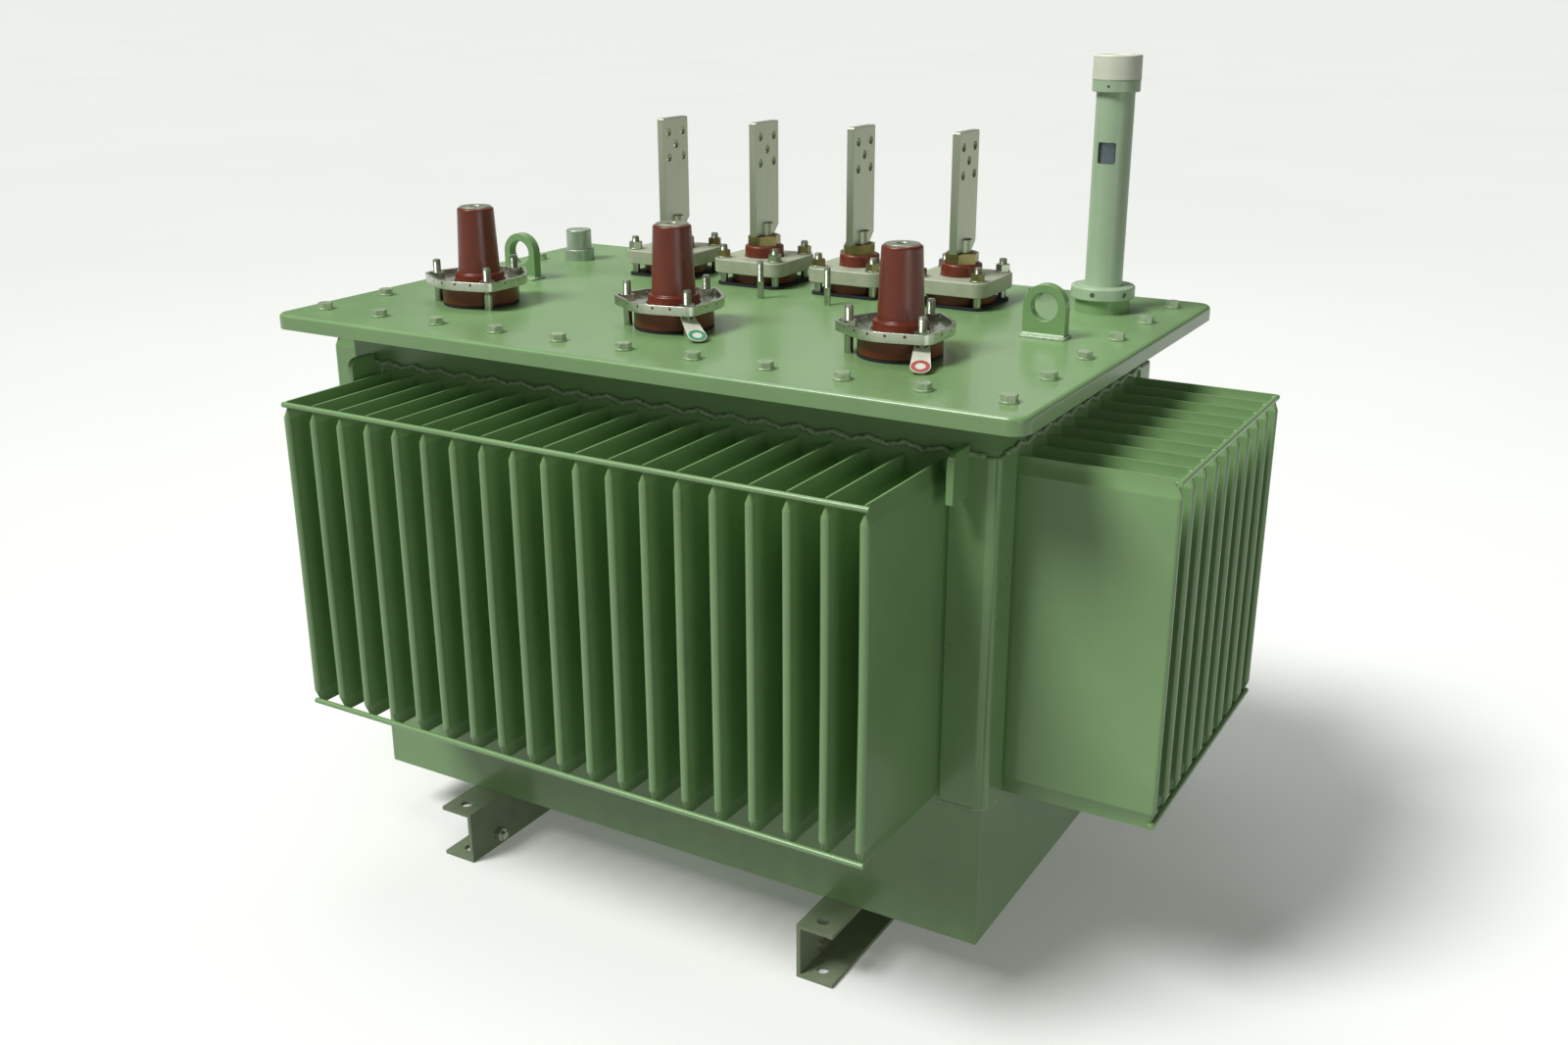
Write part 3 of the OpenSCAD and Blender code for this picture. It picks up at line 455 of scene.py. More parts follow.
cover = block("coverPlate", coverLow, coverHigh)
roundEdges(cover, coverPlate["cornerRadius"], 6, lambda p, d: abs(d.z) > 0.9)
roundEdges(cover, coverPlate["foldRadius"], 4, lambda p, d: p.z > coverHigh.z - 0.0001)
choose(cover, "faces", lambda p, n: n.z < -0.9)
bpy.ops.mesh.delete(type="FACE")
closeEdit()
applyModifier(cover, "SOLIDIFY", thickness=coverPlate["sheet"], offset=-1)
for centres, key in ((hvCentres, "hvHole"), (lvCentres, "lvHole"),
                     ([columnCentre], "columnHole"), ([tapCentre], "tapHole")):
    drill(cover, centres, coverPlate[key], coverPlate["drillDepth"], sides=48)
finishPiece(cover, finish["enamel"], stands=["cover"])
print("cover done")


# M12 fasteners
m12 = {"flats": 0.019, "head": 0.0075, "nut": 0.010, "washerRadius": 0.012, "washer": 0.0025,
       "shank": 0.006, "threadPitch": 0.00175, "threadDepth": 0.0007, "chamfer": 0.0012, "skim": 0.6,
       "crown": 0.95}


def hexPiece(name, flats, height, boreRadius=0):
    # a hexagon whose corners are turned off by a cone, as on a real head or nut
    corner = flats / math.sqrt(3)
    hexagon = rod(name, corner, (0, 0, 0), (0, 0, height), 6)
    skim = (corner - flats / 2) * m12["skim"]
    turned = lathe("turned", [(0, 0, 0), (corner + 0.001, 0, 0), (corner + 0.001, height - skim, 0),
                              (flats / 2 * m12["crown"], height, 0), (0, height, 0)], (0, 0, 0), 36)
    cut(hexagon, turned, "INTERSECT")
    if boreRadius:
        drill(hexagon, [(0, 0, height / 2)], boreRadius, height * 2, sides=24)
    return hexagon


def washerPiece(name, radius, height, boreRadius):
    disc = rod(name, radius, (0, 0, 0), (0, 0, height), 32)
    soften(disc, 0.0004, segments=1)
    drill(disc, [(0, 0, height / 2)], boreRadius, height * 3, sides=24)
    return disc


def studPiece(name, radius, length, threaded):
    # plain at the foot, then thread drawn as rings with a chamfered end
    pitch, depth = m12["threadPitch"], m12["threadDepth"]
    outline = [(0, 0, 0), (radius, 0, 0), (radius, length - threaded, 0)]
    turns = int((threaded - 0.002) / pitch)
    for k in range(turns):
        z = length - threaded + k * pitch
        outline += [(radius - depth, z + pitch * 0.5, 0), (radius, z + pitch, 0)]
    outline += [(radius - m12["chamfer"], length, 0), (0, length, 0)]
    return lathe(name, outline, (0, 0, 0), 16)


def islands(node):
    # the lowest and highest corner of each separate solid of a CAD node
    mesh = bmesh.new()
    mesh.from_mesh(frame["nodes"][node].data)
    bmesh.ops.remove_doubles(mesh, verts=mesh.verts, dist=0.00001)
    left, boxes = set(mesh.verts), []
    while left:
        queue = [left.pop()]
        island = list(queue)
        while queue:
            for edge in queue.pop().link_edges:
                for v in edge.verts:
                    if v in left:
                        left.remove(v)
                        queue.append(v)
                        island.append(v)
        corners = [v.co.copy() for v in island]
        low = Vector([min(c[i] for c in corners) for i in range(3)])
        high = Vector([max(c[i] for c in corners) for i in range(3)])
        boxes.append((low, high))
    mesh.free()
    return sorted(boxes, key=lambda b: (round(b[0].x, 4), round(b[0].y, 4)))


def islandMiddles(node):
    return [(low + high) / 2 for low, high in islands(node)]


boltPlaces = islandMiddles("cover_bolts")
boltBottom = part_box("cover_bolts")[0].z
head = hexPiece("head", m12["flats"], m12["head"])
washer = washerPiece("washer", m12["washerRadius"], m12["washer"], m12["shank"])
shank = studPiece("shank", m12["shank"], coverTop - boltBottom + 0.001, 0.001)
underNut = hexPiece("underNut", m12["flats"], m12["nut"], m12["shank"])
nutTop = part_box("cover_nuts")[1].z
boltParts, nutParts = [], []
for place in boltPlaces:
    turn = random.uniform(0, math.pi / 3)
    top = Vector((place.x, place.y, coverTop))
    boltParts.append(copyTo(washer, top))
    boltParts.append(copyTo(head, top + Vector((0, 0, m12["washer"])), turn))
    boltParts.append(copyTo(shank, (place.x, place.y, boltBottom)))
    nutParts.append(copyTo(underNut, (place.x, place.y, nutTop - m12["nut"]), turn))
# the bolt heads take the pale zinc with painted sheen
finishPiece(joined(boltParts, "coverBolts"), finish["mistedZincPaintedSheen"],
            stands=["cover_bolts"])
finishPiece(joined(nutParts, "coverNuts"), finish["zinc"], stands=["cover_nuts"])

studPlaces = islandMiddles("bushing_studs")
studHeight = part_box("bushing_studs")[1].z - coverTop
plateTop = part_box("lv_clamp_plates")[1].z
clampNut = {"above": 0.005, "height": 0.009, "thread": 0.040}
stud = studPiece("stud", m12["shank"], studHeight, clampNut["thread"])
hvNut = hexPiece("hvNut", m12["flats"], clampNut["height"], m12["shank"])
lvNut = hexPiece("lvNut", m12["flats"], m12["nut"], m12["shank"])
studParts, zincNuts, yellowNuts = [], [], []
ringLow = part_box("hv_clamp_ring_a")[0].z
for place in studPlaces:
    turn = random.uniform(0, math.pi / 3)
    studParts.append(copyTo(stud, (place.x, place.y, coverTop)))
    if place.y < 0:
        zincNuts.append(copyTo(hvNut, (place.x, place.y, ringLow + clampNut["above"]), turn))
    else:
        pile = random.choice((zincNuts, yellowNuts))
        zincNuts.append(copyTo(washer, (place.x, place.y, plateTop)))
        pile.append(copyTo(lvNut, (place.x, place.y, plateTop + m12["washer"]), turn))
finishPiece(joined(studParts, "bushingStuds"), finish["zinc"],
            stands=["bushing_studs"])
finishPiece(joined(zincNuts, "bushingNuts"), finish["zinc"],
            stands=["bushing_nuts"])
finishPiece(joined(yellowNuts, "yellowNuts"), finish["brass"])

plain = {"radius": 0.005, "thread": 0.030}
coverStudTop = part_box("cover_studs")[1].z
plainStud = studPiece("plainStud", plain["radius"], coverStudTop - coverTop, plain["thread"])
plainStuds = [copyTo(plainStud, (p.x, p.y, coverTop)) for p in islandMiddles("cover_studs")]
finishPiece(joined(plainStuds, "coverStuds"), finish["zinc"],
            stands=["cover_studs"])
for spare in (head, washer, shank, underNut, stud, hvNut, lvNut, plainStud):
    bpy.data.objects.remove(spare)
print("fasteners done")


# cooling fins: one pressed envelope, copied along each wall
fin = {"pitch": 0.050, "thickness": 0.012, "depth": 0.206, "foot": 0.289, "top": 0.750,
       "seam": 0.010, "seamThickness": 0.003, "taper": 0.013, "noseRadius": 0.0054,
       "sheet": 0.0025, "bow": 0.0016, "tieRadius": 0.004, "root": 0.002, "noseZone": 0.15, "crease": 0.0012,
       "bowReach": 0.11, "dot": 0.0042, "dotSink": 0.003}
walls = {   # CAD node: count, turn about Z, distance of the sheet from the middle, half length
    "fin_wall_front": (19, math.pi, 0.2885, 0.523),
    "fin_wall_back": (19, 0.0, 0.2885, 0.523),
    "fin_wall_left": (6, math.pi / 2, 0.523, 0.286),
    "fin_wall_right": (10, -math.pi / 2, 0.523, 0.286),
}
seamFoot, seamTop = fin["foot"] + fin["seam"], fin["top"] - fin["seam"]
bendFoot, bendTop = seamFoot + fin["taper"], seamTop - fin["taper"]

halfThickness = fin["thickness"] / 2
model = block("fin", (-halfThickness, -fin["root"], fin["foot"]), (halfThickness, fin["depth"], fin["top"]))
roundEdges(model, fin["noseRadius"], 4, lambda p, d: abs(d.z) > 0.9 and p.y > fin["noseZone"])
bendMiddle = (bendFoot + bendTop) / 2
for z in (seamFoot, bendFoot, bendMiddle - fin["bowReach"], bendMiddle, bendMiddle + fin["bowReach"],
          bendTop, seamTop):
    sliceAt(model, (0, 0, z), (0, 0, 1))
choose(model, "verts", lambda p, n: p.z < seamFoot + 0.0001 or p.z > seamTop - 0.0001)
bpy.ops.transform.resize(value=(fin["seamThickness"] / fin["thickness"], 1, 1), center_override=(0, 0, 0))
closeEdit()
for low, high in ((fin["foot"] - 0.001, seamFoot), (seamTop, fin["top"] + 0.001)):
    # the seam steps back so that the tie bar lies in front of it
    choose(model, "verts", lambda p, n: low - 0.0001 < p.z < high + 0.0001 and p.y > fin["noseZone"])
    bpy.ops.transform.translate(value=(0, -fin["tieRadius"] * 1.2, 0))
    closeEdit()
roundEdges(model, fin["crease"], 2,
           lambda p, d: abs(p.z - bendFoot) < 0.0002 or abs(p.z - bendTop) < 0.0002)

for node, (count, turn, reach, half) in walls.items():
    parts = []
    for i in range(count):
        x = (i - (count - 1) / 2) * fin["pitch"]
        sheet = copyTo(model, (x, 0, 0))
        bow = random.uniform(-1, 1) * fin["bow"]
        for share, reachZ in ((0.55, 0.13), (0.45, 0.02)):   # most in the middle, less towards the ends
            choose(sheet, "verts", lambda p, n: p.y > fin["noseZone"] and abs(p.z - bendMiddle) < reachZ)
            bpy.ops.transform.translate(value=(bow * share, 0, 0))
            closeEdit()
        parts.append(sheet)
    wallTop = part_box(node)[1].z
    back = block("back", (-half, -fin["sheet"], fin["foot"]), (half, 0, wallTop))
    soften(back, 0.001)
    parts.append(back)
    wall = joined(parts, node.replace("fin_wall_", "finWall_"))
    wall.rotation_euler = (0, 0, turn)
    wall.location = Vector((-math.sin(turn) * reach, math.cos(turn) * reach, 0))
    useOnly(wall)
    wall = named(wall.name)
    finishPiece(wall, finish["enamel"], stands=[node], angle=28)
bpy.data.objects.remove(model)

def onWall(turn, reach, x, y, z):
    return Vector((x * math.cos(turn) - (y + reach) * math.sin(turn),
                   x * math.sin(turn) + (y + reach) * math.cos(turn), z))


ties = []
for node, (count, turn, reach, half) in walls.items():
    length = (count - 1) * fin["pitch"] + fin["thickness"]
    for z in (fin["foot"] + fin["seam"] / 2, fin["top"] - fin["seam"] / 2):
        y = fin["depth"] - fin["tieRadius"]
        bar = rod("bar", fin["tieRadius"], (-length / 2, y, z), (length / 2, y, z), 20)
        soften(bar, 0.001)
        blobs = [bar]
        for i in range(count):
            x = (i - (count - 1) / 2) * fin["pitch"]
            bpy.ops.object.select_all(action="DESELECT")
            bpy.ops.mesh.primitive_uv_sphere_add(segments=12, ring_count=8, radius=fin["dot"],
                                                 location=(x, y - fin["dotSink"], z))
            bpy.context.object.scale = (0.8, 1.1, 0.75 + random.uniform(-0.1, 0.15))
            blobs.append(named("weld"))
        side = joined(blobs, "bar")
        side.rotation_euler = (0, 0, turn)
        side.location = Vector((-math.sin(turn) * reach, math.cos(turn) * reach, 0))
        useOnly(side)
        ties.append(named("bar"))
finishPiece(joined(ties, "finTieBars"), finish["enamel"], stands=["fin_tie_bars"])
print("fins done")


# tank body, rails, plates and lugs
tank = {"edge": 0.0022, "railEdge": 0.0012, "halfLength": 0.523, "halfWidth": 0.2885}
skirt = takeNode("lower_tank", "lowerTank")
soften(skirt, tank["edge"], segments=3)
finishPiece(skirt, finish["enamel"], stands=["lower_tank"])
rim = takeNode("tank_rim", "tankRim")
soften(rim, 0.0012)
finishPiece(rim, finish["enamel"], stands=["tank_rim"])
for node, name in (("rail_left", "railLeft"), ("rail_right", "railRight")):
    rail = takeNode(node, name)
    soften(rail, tank["railEdge"])
    finishPiece(rail, finish["dustyEnamel"], stands=[node])
plates = takeNode("lashing_plates", "lashingPlates")
soften(plates, 0.0015)
finishPiece(plates, finish["enamel"], stands=["lashing_plates"])
lugs = takeNode("lifting_lugs", "liftingLugs")
soften(lugs, 0.0014)
finishPiece(lugs, finish["enamel"], stands=["lifting_lugs"])

# the folded sheet that closes each corner between two packs, a little proud of the plate under it
corner = {"along": 0.062, "across": 0.054, "proud": 0.0035, "bend": 0.016, "foot": 0.2885, "top": 0.762,
          "lip": 0.003, "seam": 0.002, "turn": 0.3}
strips = []
for sx in (-1, 1):
    for sy in (-1, 1):
        outer = Vector((sx * (tank["halfLength"] + corner["proud"]),
                        sy * (tank["halfWidth"] + corner["proud"]), 0))
        inward = Vector((sx * (tank["halfLength"] - corner["along"]),
                         sy * (tank["halfWidth"] - corner["across"]), 0))
        low = (min(outer.x, inward.x), min(outer.y, inward.y), corner["foot"])
        high = (max(outer.x, inward.x), max(outer.y, inward.y), corner["top"])
        strip = block("strip", low, high)
        roundEdges(strip, corner["bend"], 6,
                   lambda p, d: abs(d.z) > 0.9 and (p.xy - outer.xy).length < 0.001)
        soften(strip, corner["lip"], segments=3)
        strips.append(strip)
finishPiece(joined(strips, "cornerStrips"), finish["enamel"])


weld = {"step": 0.0035, "ripple": 0.16, "wander": 0.0005, "wallRadius": 0.0034, "peak": 0.0036,
        "footRadius": 0.0028, "proud": 0.001, "beyond": 0.02, "sag": 0.3}


def evenly(corners):
    # points a weld step apart along straight lines through the corners
    points = []
    for a, b in zip(corners, corners[1:]):
        count = max(1, round((b - a).length / weld["step"]))
        points += [a.lerp(b, k / count) for k in range(count)]
    return points + [corners[-1]]


def beadAlong(points, radius):
    # a cord whose thickness ripples from one pool of metal to the next
    bpy.ops.object.select_all(action="DESELECT")
    bpy.ops.curve.primitive_nurbs_path_add(location=(0, 0, 0))
    cord = bpy.context.object
    cord.data.splines.clear()
    line = cord.data.splines.new("POLY")
    line.points.add(len(points) - 1)
    for i, (point, at) in enumerate(zip(line.points, points)):
        wander = random.uniform(-1, 1) * weld["wander"]
        point.co = (at.x, at.y, at.z + wander, 1)
        point.radius = 1 + weld["ripple"] * (1 if i % 2 else -1) + random.uniform(-0.1, 0.1)
    cord.data.bevel_depth = radius
    cord.data.bevel_resolution = 1
    cord.data.use_fill_caps = True
    bpy.ops.object.convert(target="MESH")
    return named("bead")


def loopAround(low, high, z):
    # the corners of a box seen from above, back to the first
    return [Vector((x, y, z)) for x, y in ((low.x, low.y), (high.x, low.y), (high.x, high.y),
                                           (low.x, high.y), (low.x, low.y))]


beads = []
for node, (count, turn, reach, half) in walls.items():
    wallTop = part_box(node)[1].z
    end = half - corner["bend"]
    shift = 0 if count % 2 else fin["pitch"] / 2
    points = evenly([onWall(turn, reach, x, weld["proud"], wallTop) for x in (-end, end)])
    packEnd = (count - 1) / 2 * fin["pitch"] + weld["beyond"]
    for k, point in enumerate(points):
        x = -end + 2 * end * k / (len(points) - 1)
        if abs(x) < packEnd:   # the bead climbs at each fin
            wave = math.cos(2 * math.pi * (x - shift) / fin["pitch"]) ** 3
            point.z += weld["peak"] * (wave - weld["sag"])
    beads.append(beadAlong(points, weld["wallRadius"]))
for sx in (-1, 1):
    for sy in (-1, 1):
        x, y = tank["halfLength"] + corner["seam"], tank["halfWidth"] + corner["seam"]
        bend = corner["bend"]
        path = [Vector((sx * (x - corner["along"]), sy * y, corner["foot"])),
                Vector((sx * (x - bend), sy * y, corner["foot"])),
                Vector((sx * (x - bend * corner["turn"]), sy * (y - bend * corner["turn"]), corner["foot"])),
                Vector((sx * x, sy * (y - bend), corner["foot"])),
                Vector((sx * x, sy * (y - corner["across"]), corner["foot"]))]
        beads.append(beadAlong(evenly(path), weld["footRadius"]))
for low, high in islands("lifting_lugs"):
    beads.append(beadAlong(evenly(loopAround(low, high, coverTop + weld["proud"])), weld["footRadius"]))
# the weld beads take the pale enamel with painted highlight
finishPiece(joined(beads, "weldBeads"), finish["bead"], angle=60)

# phase tags carry a printed band instead of a letter
tagBand = {"outer": 0.0118, "inner": 0.0068, "film": 0.0004, "reach": 0.043, "above": 0.025, "slope": 23,
           "studRadius": 0.067, "studAngle": 320, "lift": 0.0008}
for centre, turn, tone in ((hvCentres[1], -38, "tagGreen"), (hvCentres[2], -67, "tagRed")):
    band = lathe("phaseBand_" + tone, [
        (tagBand["inner"], 0, 0), (tagBand["outer"], 0, 0), (tagBand["outer"], tagBand["film"], 0),
        (tagBand["inner"], tagBand["film"], 0), (tagBand["inner"], 0, 0)], (0, 0, 0), 40)
    angle = math.radians(tagBand["studAngle"])
    stud = centre + Vector((math.cos(angle), math.sin(angle), 0)) * tagBand["studRadius"]
    tilt = Euler((0, math.radians(tagBand["slope"]), math.radians(turn))).to_quaternion()
    band.rotation_euler = tilt.to_euler()
    band.location = (stud + Vector((0, 0, tagBand["above"]))
                     + tilt @ Vector((tagBand["reach"], 0, tagBand["lift"])))
    useOnly(band)
    finishPiece(named(band.name), finish[tone])
print("tank body done")


# high-voltage bushings: an outside cone over a round body
hv = {"gasket": 0.004, "bodyRadius": 0.056, "shoulder": 0.030, "collarRadius": 0.036,
      "collarTop": 0.047, "coneFoot": 0.0305, "coneTip": 0.0268, "top": 0.142, "tail": -0.066,
      "bore": 0.010, "tailRadius": 0.022, "throat": 0.033, "throatFoot": -0.010, "recess": 0.023,
      "recessDepth": 0.004}
hvSeat = hv["top"] - hv["recessDepth"]
hvOutline = [
    (hv["bore"], hv["tail"], 0), (hv["tailRadius"], hv["tail"], 0.002),
    (hv["throat"], hv["throatFoot"], 0), (hv["throat"], hv["gasket"], 0),
    (hv["bodyRadius"], hv["gasket"], 0.0015), (hv["bodyRadius"], hv["shoulder"], 0.003),
    (hv["collarRadius"] + 0.001, hv["shoulder"], 0.001),
    (hv["collarRadius"], hv["collarTop"], 0.003), (hv["coneFoot"] + 0.0004, hv["collarTop"], 0.0025),
    (hv["coneTip"], hv["top"] - 0.0005, 0.0035), (hv["recess"], hv["top"], 0.0006),
    (hv["recess"], hvSeat, 0), (hv["bore"], hvSeat, 0), (hv["bore"], hv["tail"], 0)]
for centre, key in zip(hvCentres, "abc"):
    node = "hv_bushing_" + key
    finishPiece(lathe("hvBushing_" + key, hvOutline, centre, 72), finish["resin"],
                stands=[node])

hvStem = {"radius": 0.010, "foot": -0.095, "disc": 0.023, "bore": 0.0069, "boreDepth": 0.028,
          "above": 0.002, "chamfer": 0.0012}
stemTop = hv["top"] + hvStem["above"]
stemOutline = [
    (0, hvStem["foot"], 0), (hvStem["radius"], hvStem["foot"], 0.001),
    (hvStem["radius"], hvSeat, 0), (hvStem["disc"], hvSeat, 0),
    (hvStem["disc"], stemTop, 0.0009), (hvStem["bore"] + hvStem["chamfer"], stemTop, 0),
    (hvStem["bore"], stemTop - hvStem["chamfer"], 0), (hvStem["bore"], stemTop - hvStem["boreDepth"], 0),
    (0, stemTop - hvStem["boreDepth"], 0)]
stems = [lathe("stem", stemOutline, centre, 48) for centre in hvCentres]
finishPiece(joined(stems, "hvTerminals"), finish["tinned"], stands=["hv_terminals"])

ring = {"edge": 0.0008, "drillFrom": 0.062, "drillTo": 0.082, "boltAngles": (80, 200, 320),
        "sideHole": 0.002, "sideHoles": 18, "holeHeight": 0.009, "boltSpace": 0.3}
ringModel = takeNode("hv_clamp_ring_a", "ring")
soften(ringModel, ring["edge"])
bits = []
for i in range(ring["sideHoles"]):
    angle = 2 * math.pi * i / ring["sideHoles"]
    gaps = [abs((angle - math.radians(a) + math.pi) % (2 * math.pi) - math.pi) for a in ring["boltAngles"]]
    if min(gaps) > ring["boltSpace"]:
        out = Vector((math.cos(angle), math.sin(angle), 0))
        at = hvCentres[0] + Vector((0, 0, hv["shoulder"] + ring["holeHeight"]))
        bits.append(rod("bit", ring["sideHole"], at + out * ring["drillFrom"],
                        at + out * ring["drillTo"], 12))
cut(ringModel, joined(bits, "bits"))
for centre, key in zip(hvCentres, "abc"):
    clamp = copyTo(ringModel, centre - hvCentres[0], name="hvClampRing_" + key)
    finishPiece(clamp, finish["castAluminium"], stands=["hv_clamp_ring_" + key])
bpy.data.objects.remove(ringModel)
print("high-voltage bushings done")


# low-voltage bushings: a short body, a clamping plate and a flat palm
lv = {"gasket": 0.004, "flange": 0.052, "plateFoot": 0.020, "plate": 0.022, "plateSide": 0.126,
      "plateCorner": 0.020, "neck": 0.031, "neckTop": 0.060, "stem": 0.014, "stemTop": 0.095,
      "palmFoot": 0.076, "palmTop": 0.251, "palmWidth": 0.070, "palmThickness": 0.012,
      "holePitch": 0.040, "hole": 0.0065, "nutFlats": 0.046, "studOffset": 0.047, "tail": -0.060,
      "tailRadius": 0.024, "neckFoot": -0.010, "stemFoot": -0.100, "holeDrop": 0.042, "palmCut": 0.013}
lvOutline = [
    (lv["stem"], lv["tail"], 0), (lv["tailRadius"], lv["tail"], 0.002), (lv["neck"], lv["neckFoot"], 0),
    (lv["neck"], lv["gasket"], 0),
    (lv["flange"], lv["gasket"], 0.001), (lv["flange"], lv["plateFoot"], 0.001),
    (lv["neck"], lv["plateFoot"], 0), (lv["neck"], lv["neckTop"], 0.004),
    (lv["stem"], lv["neckTop"], 0), (lv["stem"], lv["tail"], 0)]
stemParts = [(0, lv["stemFoot"], 0), (lv["stem"], lv["stemFoot"], 0.001),
             (lv["stem"], lv["stemTop"], 0.0015),
             (0, lv["stemTop"], 0)]
holeHeight = lv["palmTop"] - lv["holeDrop"]
palmModel = block("palm", (-lv["palmThickness"] / 2, -lv["palmWidth"] / 2, lv["palmFoot"]),
                  (lv["palmThickness"] / 2, lv["palmWidth"] / 2, lv["palmTop"]))
roundEdges(palmModel, lv["palmCut"], 1, lambda p, d: abs(d.x) > 0.9 and p.y > 0 and p.z < 0.1)
roundEdges(palmModel, 0.003, 3, lambda p, d: abs(d.x) > 0.9 and p.z > 0.2)
soften(palmModel, 0.0009, angle=40)
spots = [(0, 0, holeHeight)]
spots += [(0, sy * lv["holePitch"] / 2, holeHeight + sz * lv["holePitch"] / 2)
          for sy in (-1, 1) for sz in (-1, 1)]
drill(palmModel, spots, lv["hole"], 0.03, (1, 0, 0), 28)

plateModel = block("plate", (-lv["plateSide"] / 2, -lv["plateSide"] / 2, 0),
                   (lv["plateSide"] / 2, lv["plateSide"] / 2, lv["plate"]))
roundEdges(plateModel, lv["plateCorner"], 6, lambda p, d: abs(d.z) > 0.9)
roundEdges(plateModel, 0.0025, 3, lambda p, d: p.z > lv["plate"] - 0.0001)
roundEdges(plateModel, 0.001, 1, lambda p, d: p.z < 0.0001)
drill(plateModel, [(0, 0, 0)], lv["neck"] + 0.001, 0.06, sides=48)
drill(plateModel, [(sx * lv["studOffset"], sy * lv["studOffset"], 0) for sx in (-1, 1) for sy in (-1, 1)],
      lv["hole"], 0.06, sides=24)
bigNut = hexPiece("bigNut", lv["nutFlats"], lv["palmFoot"] - lv["neckTop"], lv["stem"])
platePieces, nutPieces = [], []
for centre, key in zip(lvCentres, "nabc"):
    finishPiece(lathe("lvBushing_" + key, lvOutline, centre, 56), finish["resin"],
                stands=["lv_bushing_" + key])
    palm = joined([copyTo(palmModel, centre), lathe("stem", stemParts, centre, 40)], "lvPalm_" + key)
    finishPiece(palm, finish["tinned"], stands=["lv_palm_" + key])
    platePieces.append(copyTo(plateModel, centre + Vector((0, 0, lv["plateFoot"]))))
    nutPieces.append(copyTo(bigNut, centre + Vector((0, 0, lv["neckTop"])), random.uniform(0, 1)))
finishPiece(joined(platePieces, "lvClampPlates"), finish["moulded"],
            stands=["lv_clamp_plates"])
finishPiece(joined(nutPieces, "lvStemNuts"), finish["brass"], stands=["lv_stem_nuts"])
for spare in (palmModel, plateModel, bigNut):
    bpy.data.objects.remove(spare)
print("low-voltage bushings done")


# gauge column
column = {"socket": 0.0395, "socketTop": 0.020, "bore": 0.023, "flange": 0.046, "flangeTop": 0.038,
          "tube": 0.027, "neckTop": 0.345, "collar": 0.0335, "collarFoot": 0.310, "collarTop": 0.326,
          "cap": 0.034, "capFoot": 0.3263, "top": 0.360, "windowFoot": 0.212, "windowTall": 0.030,
          "windowWide": 0.026, "windowBack": 0.04, "slots": 6, "slotHeight": 0.029, "slotRadius": 0.004,
          "vent": 0.002, "ventHeight": 0.318, "drillDepth": 0.010, "capCeiling": 0.352, "capBore": 0.0295}
inner = column["bore"] + 0.001
socket = lathe("columnSocket", [
    (inner, 0, 0), (column["socket"], 0, 0), (column["socket"], column["socketTop"], 0.002),
    (inner, column["socketTop"], 0), (inner, 0, 0)], columnCentre, 64)
finishPiece(socket, finish["enamel"], stands=["column_socket"])
flange = lathe("columnFlange", [
    (column["tube"], column["socketTop"], 0), (column["flange"], column["socketTop"], 0.002),
    (column["flange"], column["flangeTop"], 0.003), (column["tube"], column["flangeTop"], 0),
    (column["tube"], column["socketTop"], 0)], columnCentre, 64)
for k in range(column["slots"]):
    angle = math.radians(30 + 60 * k)
    out = Vector((math.cos(angle), math.sin(angle), 0))
    at = columnCentre + out * column["flange"] + Vector((0, 0, column["slotHeight"]))
    drill(flange, [at], column["slotRadius"], column["drillDepth"], out, 16)
finishPiece(flange, finish["columnEnamel"], stands=["column_flange"])
tube = lathe("columnTube", [
    (column["bore"], column["socketTop"], 0), (column["tube"], column["socketTop"], 0),
    (column["tube"], column["neckTop"], 0.0008), (column["bore"], column["neckTop"], 0.0008),
    (column["bore"], column["socketTop"], 0)], columnCentre, 64)
windowHalf, windowTop = column["windowWide"] / 2, column["windowFoot"] + column["windowTall"]
windowBlock = block("window",
                    columnCentre + Vector((-windowHalf, -column["windowBack"], column["windowFoot"])),
                    columnCentre + Vector((windowHalf, 0, windowTop)))
roundEdges(windowBlock, 0.003, 3, lambda p, d: abs(d.y) > 0.9)
cut(tube, windowBlock)
finishPiece(tube, finish["columnEnamel"], stands=["column_tube"])
collar = lathe("columnCollar", [
    (column["tube"], column["collarFoot"], 0), (column["collar"], column["collarFoot"], 0.001),
    (column["collar"], column["collarTop"], 0.0008), (column["tube"], column["collarTop"], 0),
    (column["tube"], column["collarFoot"], 0)], columnCentre, 64)
drill(collar, [columnCentre + Vector((0, -column["collar"], column["ventHeight"]))], column["vent"],
      column["drillDepth"], (0, 1, 0), 16)
finishPiece(collar, finish["columnEnamel"], stands=["column_collar"])
fillerCap = lathe("fillerCap", [
    (0, column["capCeiling"], 0), (column["capBore"], column["capCeiling"], 0),
    (column["capBore"], column["capFoot"], 0),
    (column["cap"], column["capFoot"], 0.0008), (column["cap"] - 0.0004, column["top"], 0.003),
    (0.020, column["top"], 0), (0.0185, column["top"] - 0.0012, 0), (0, column["top"] - 0.0012, 0)],
    columnCentre, 72)
finishPiece(fillerCap, finish["capPlastic"], "filler_cap", ["filler_cap"])
print("gauge column done")


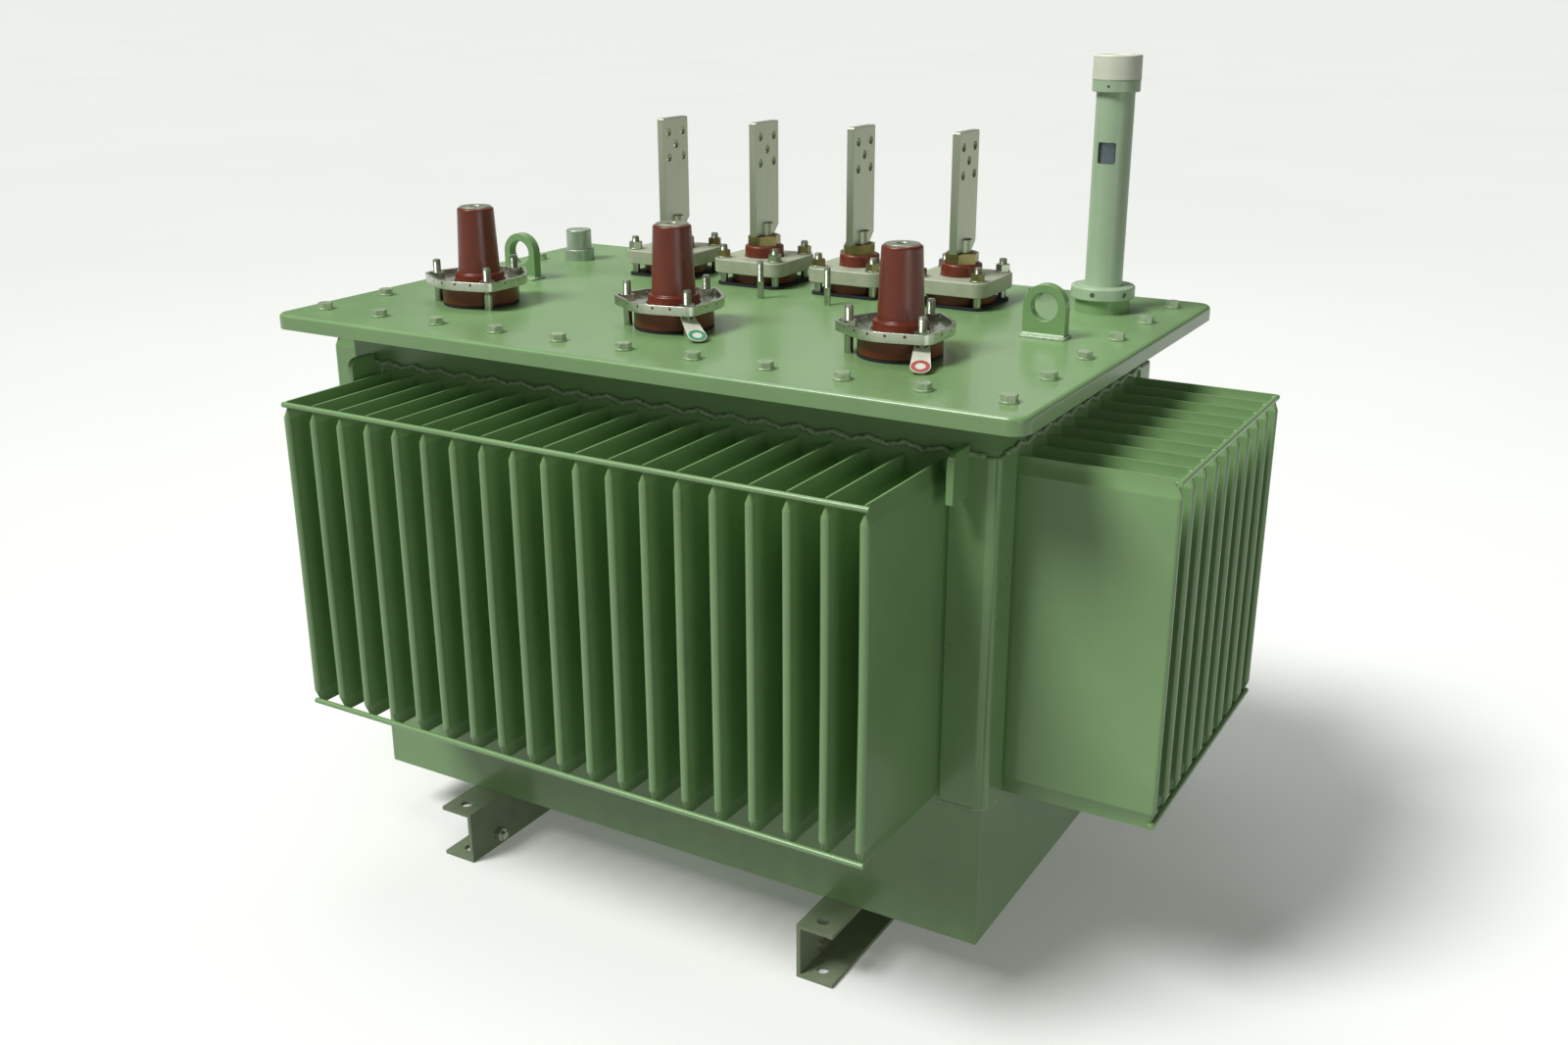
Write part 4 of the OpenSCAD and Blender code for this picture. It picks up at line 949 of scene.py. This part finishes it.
# tap changer: gland and cap
tap = {"gland": 0.0255, "glandTop": 0.019, "shaft": 0.00705, "cap": 0.0215, "capFoot": 0.0193,
       "capTop": 0.0523, "capBore": 0.0185, "capCeiling": 0.0493, "tail": -0.032, "tailRadius": 0.016}
gland = lathe("tapGland", [
    (tap["shaft"], tap["tail"], 0), (tap["tailRadius"], tap["tail"], 0.001), (tap["tailRadius"], 0, 0),
    (tap["gland"], 0, 0),
    (tap["gland"], tap["glandTop"], 0.002), (tap["shaft"], tap["glandTop"], 0),
    (tap["shaft"], tap["tail"], 0)], tapCentre, 56)
finishPiece(gland, finish["dullZinc"], stands=["tap_gland"])
tapCap = lathe("tapCap", [
    (0, tap["capCeiling"], 0), (tap["capBore"], tap["capCeiling"], 0), (tap["capBore"], tap["capFoot"], 0),
    (tap["cap"], tap["capFoot"], 0.0005), (tap["cap"], tap["capTop"], 0.003), (0, tap["capTop"], 0)],
    tapCentre, 56)
finishPiece(tapCap, finish["dullZinc"], "tap_cap", ["tap_cap"])
print("tap changer done")


# CAD nodes whose shape is kept, with their edges rounded
softened = {   # CAD node: piece, edge radius, finish, slot, body
    "earth_bolts": ("earthBolts", 0.0005, "zinc", "zinc_plated_steel", "tank"),
    "rating_plate": ("ratingPlate", 0.0004, "plate", "blank_plate", "tank"),
    "drain_valve": ("drainValve", 0.0008, "enamel", "green_paint", "tank"),
    "drain_gate": ("drainGate", 0.0004, "brass", "brass", "drain_gate"),
    "drain_handwheel": ("drainHandwheel", 0.0009, "iron", "handwheel_iron", "drain_handwheel"),
}
for node, (name, edge, tone, slot, body) in softened.items():
    piece = takeNode(node, name)
    soften(piece, edge)
    finishPiece(piece, finish[tone], body, [node])

# CAD nodes that stay as they are, most of them inside
stay = {
    "cover_gasket": "nitrile", "bushing_gaskets": "nitrile", "cap_seal": "nitrile", "phase_tags": "tagWhite",
    "sight_glass": "clear", "level_float": "indicator", "tap_spindle": "brass", "tap_selector": "board",
    "core": "steel", "core_clamps": "steel", "lv_windings": "winding", "hv_windings": "winding",
    "coil_rings": "board", "leads": "tinned"}
for node, key in stay.items():
    piece = frame["nodes"][node]
    if not piece.material_slots:
        piece.data.materials.append(None)
    for slot in piece.material_slots:
        slot.material = finish[key]
print("CAD nodes finished:", len(stay))
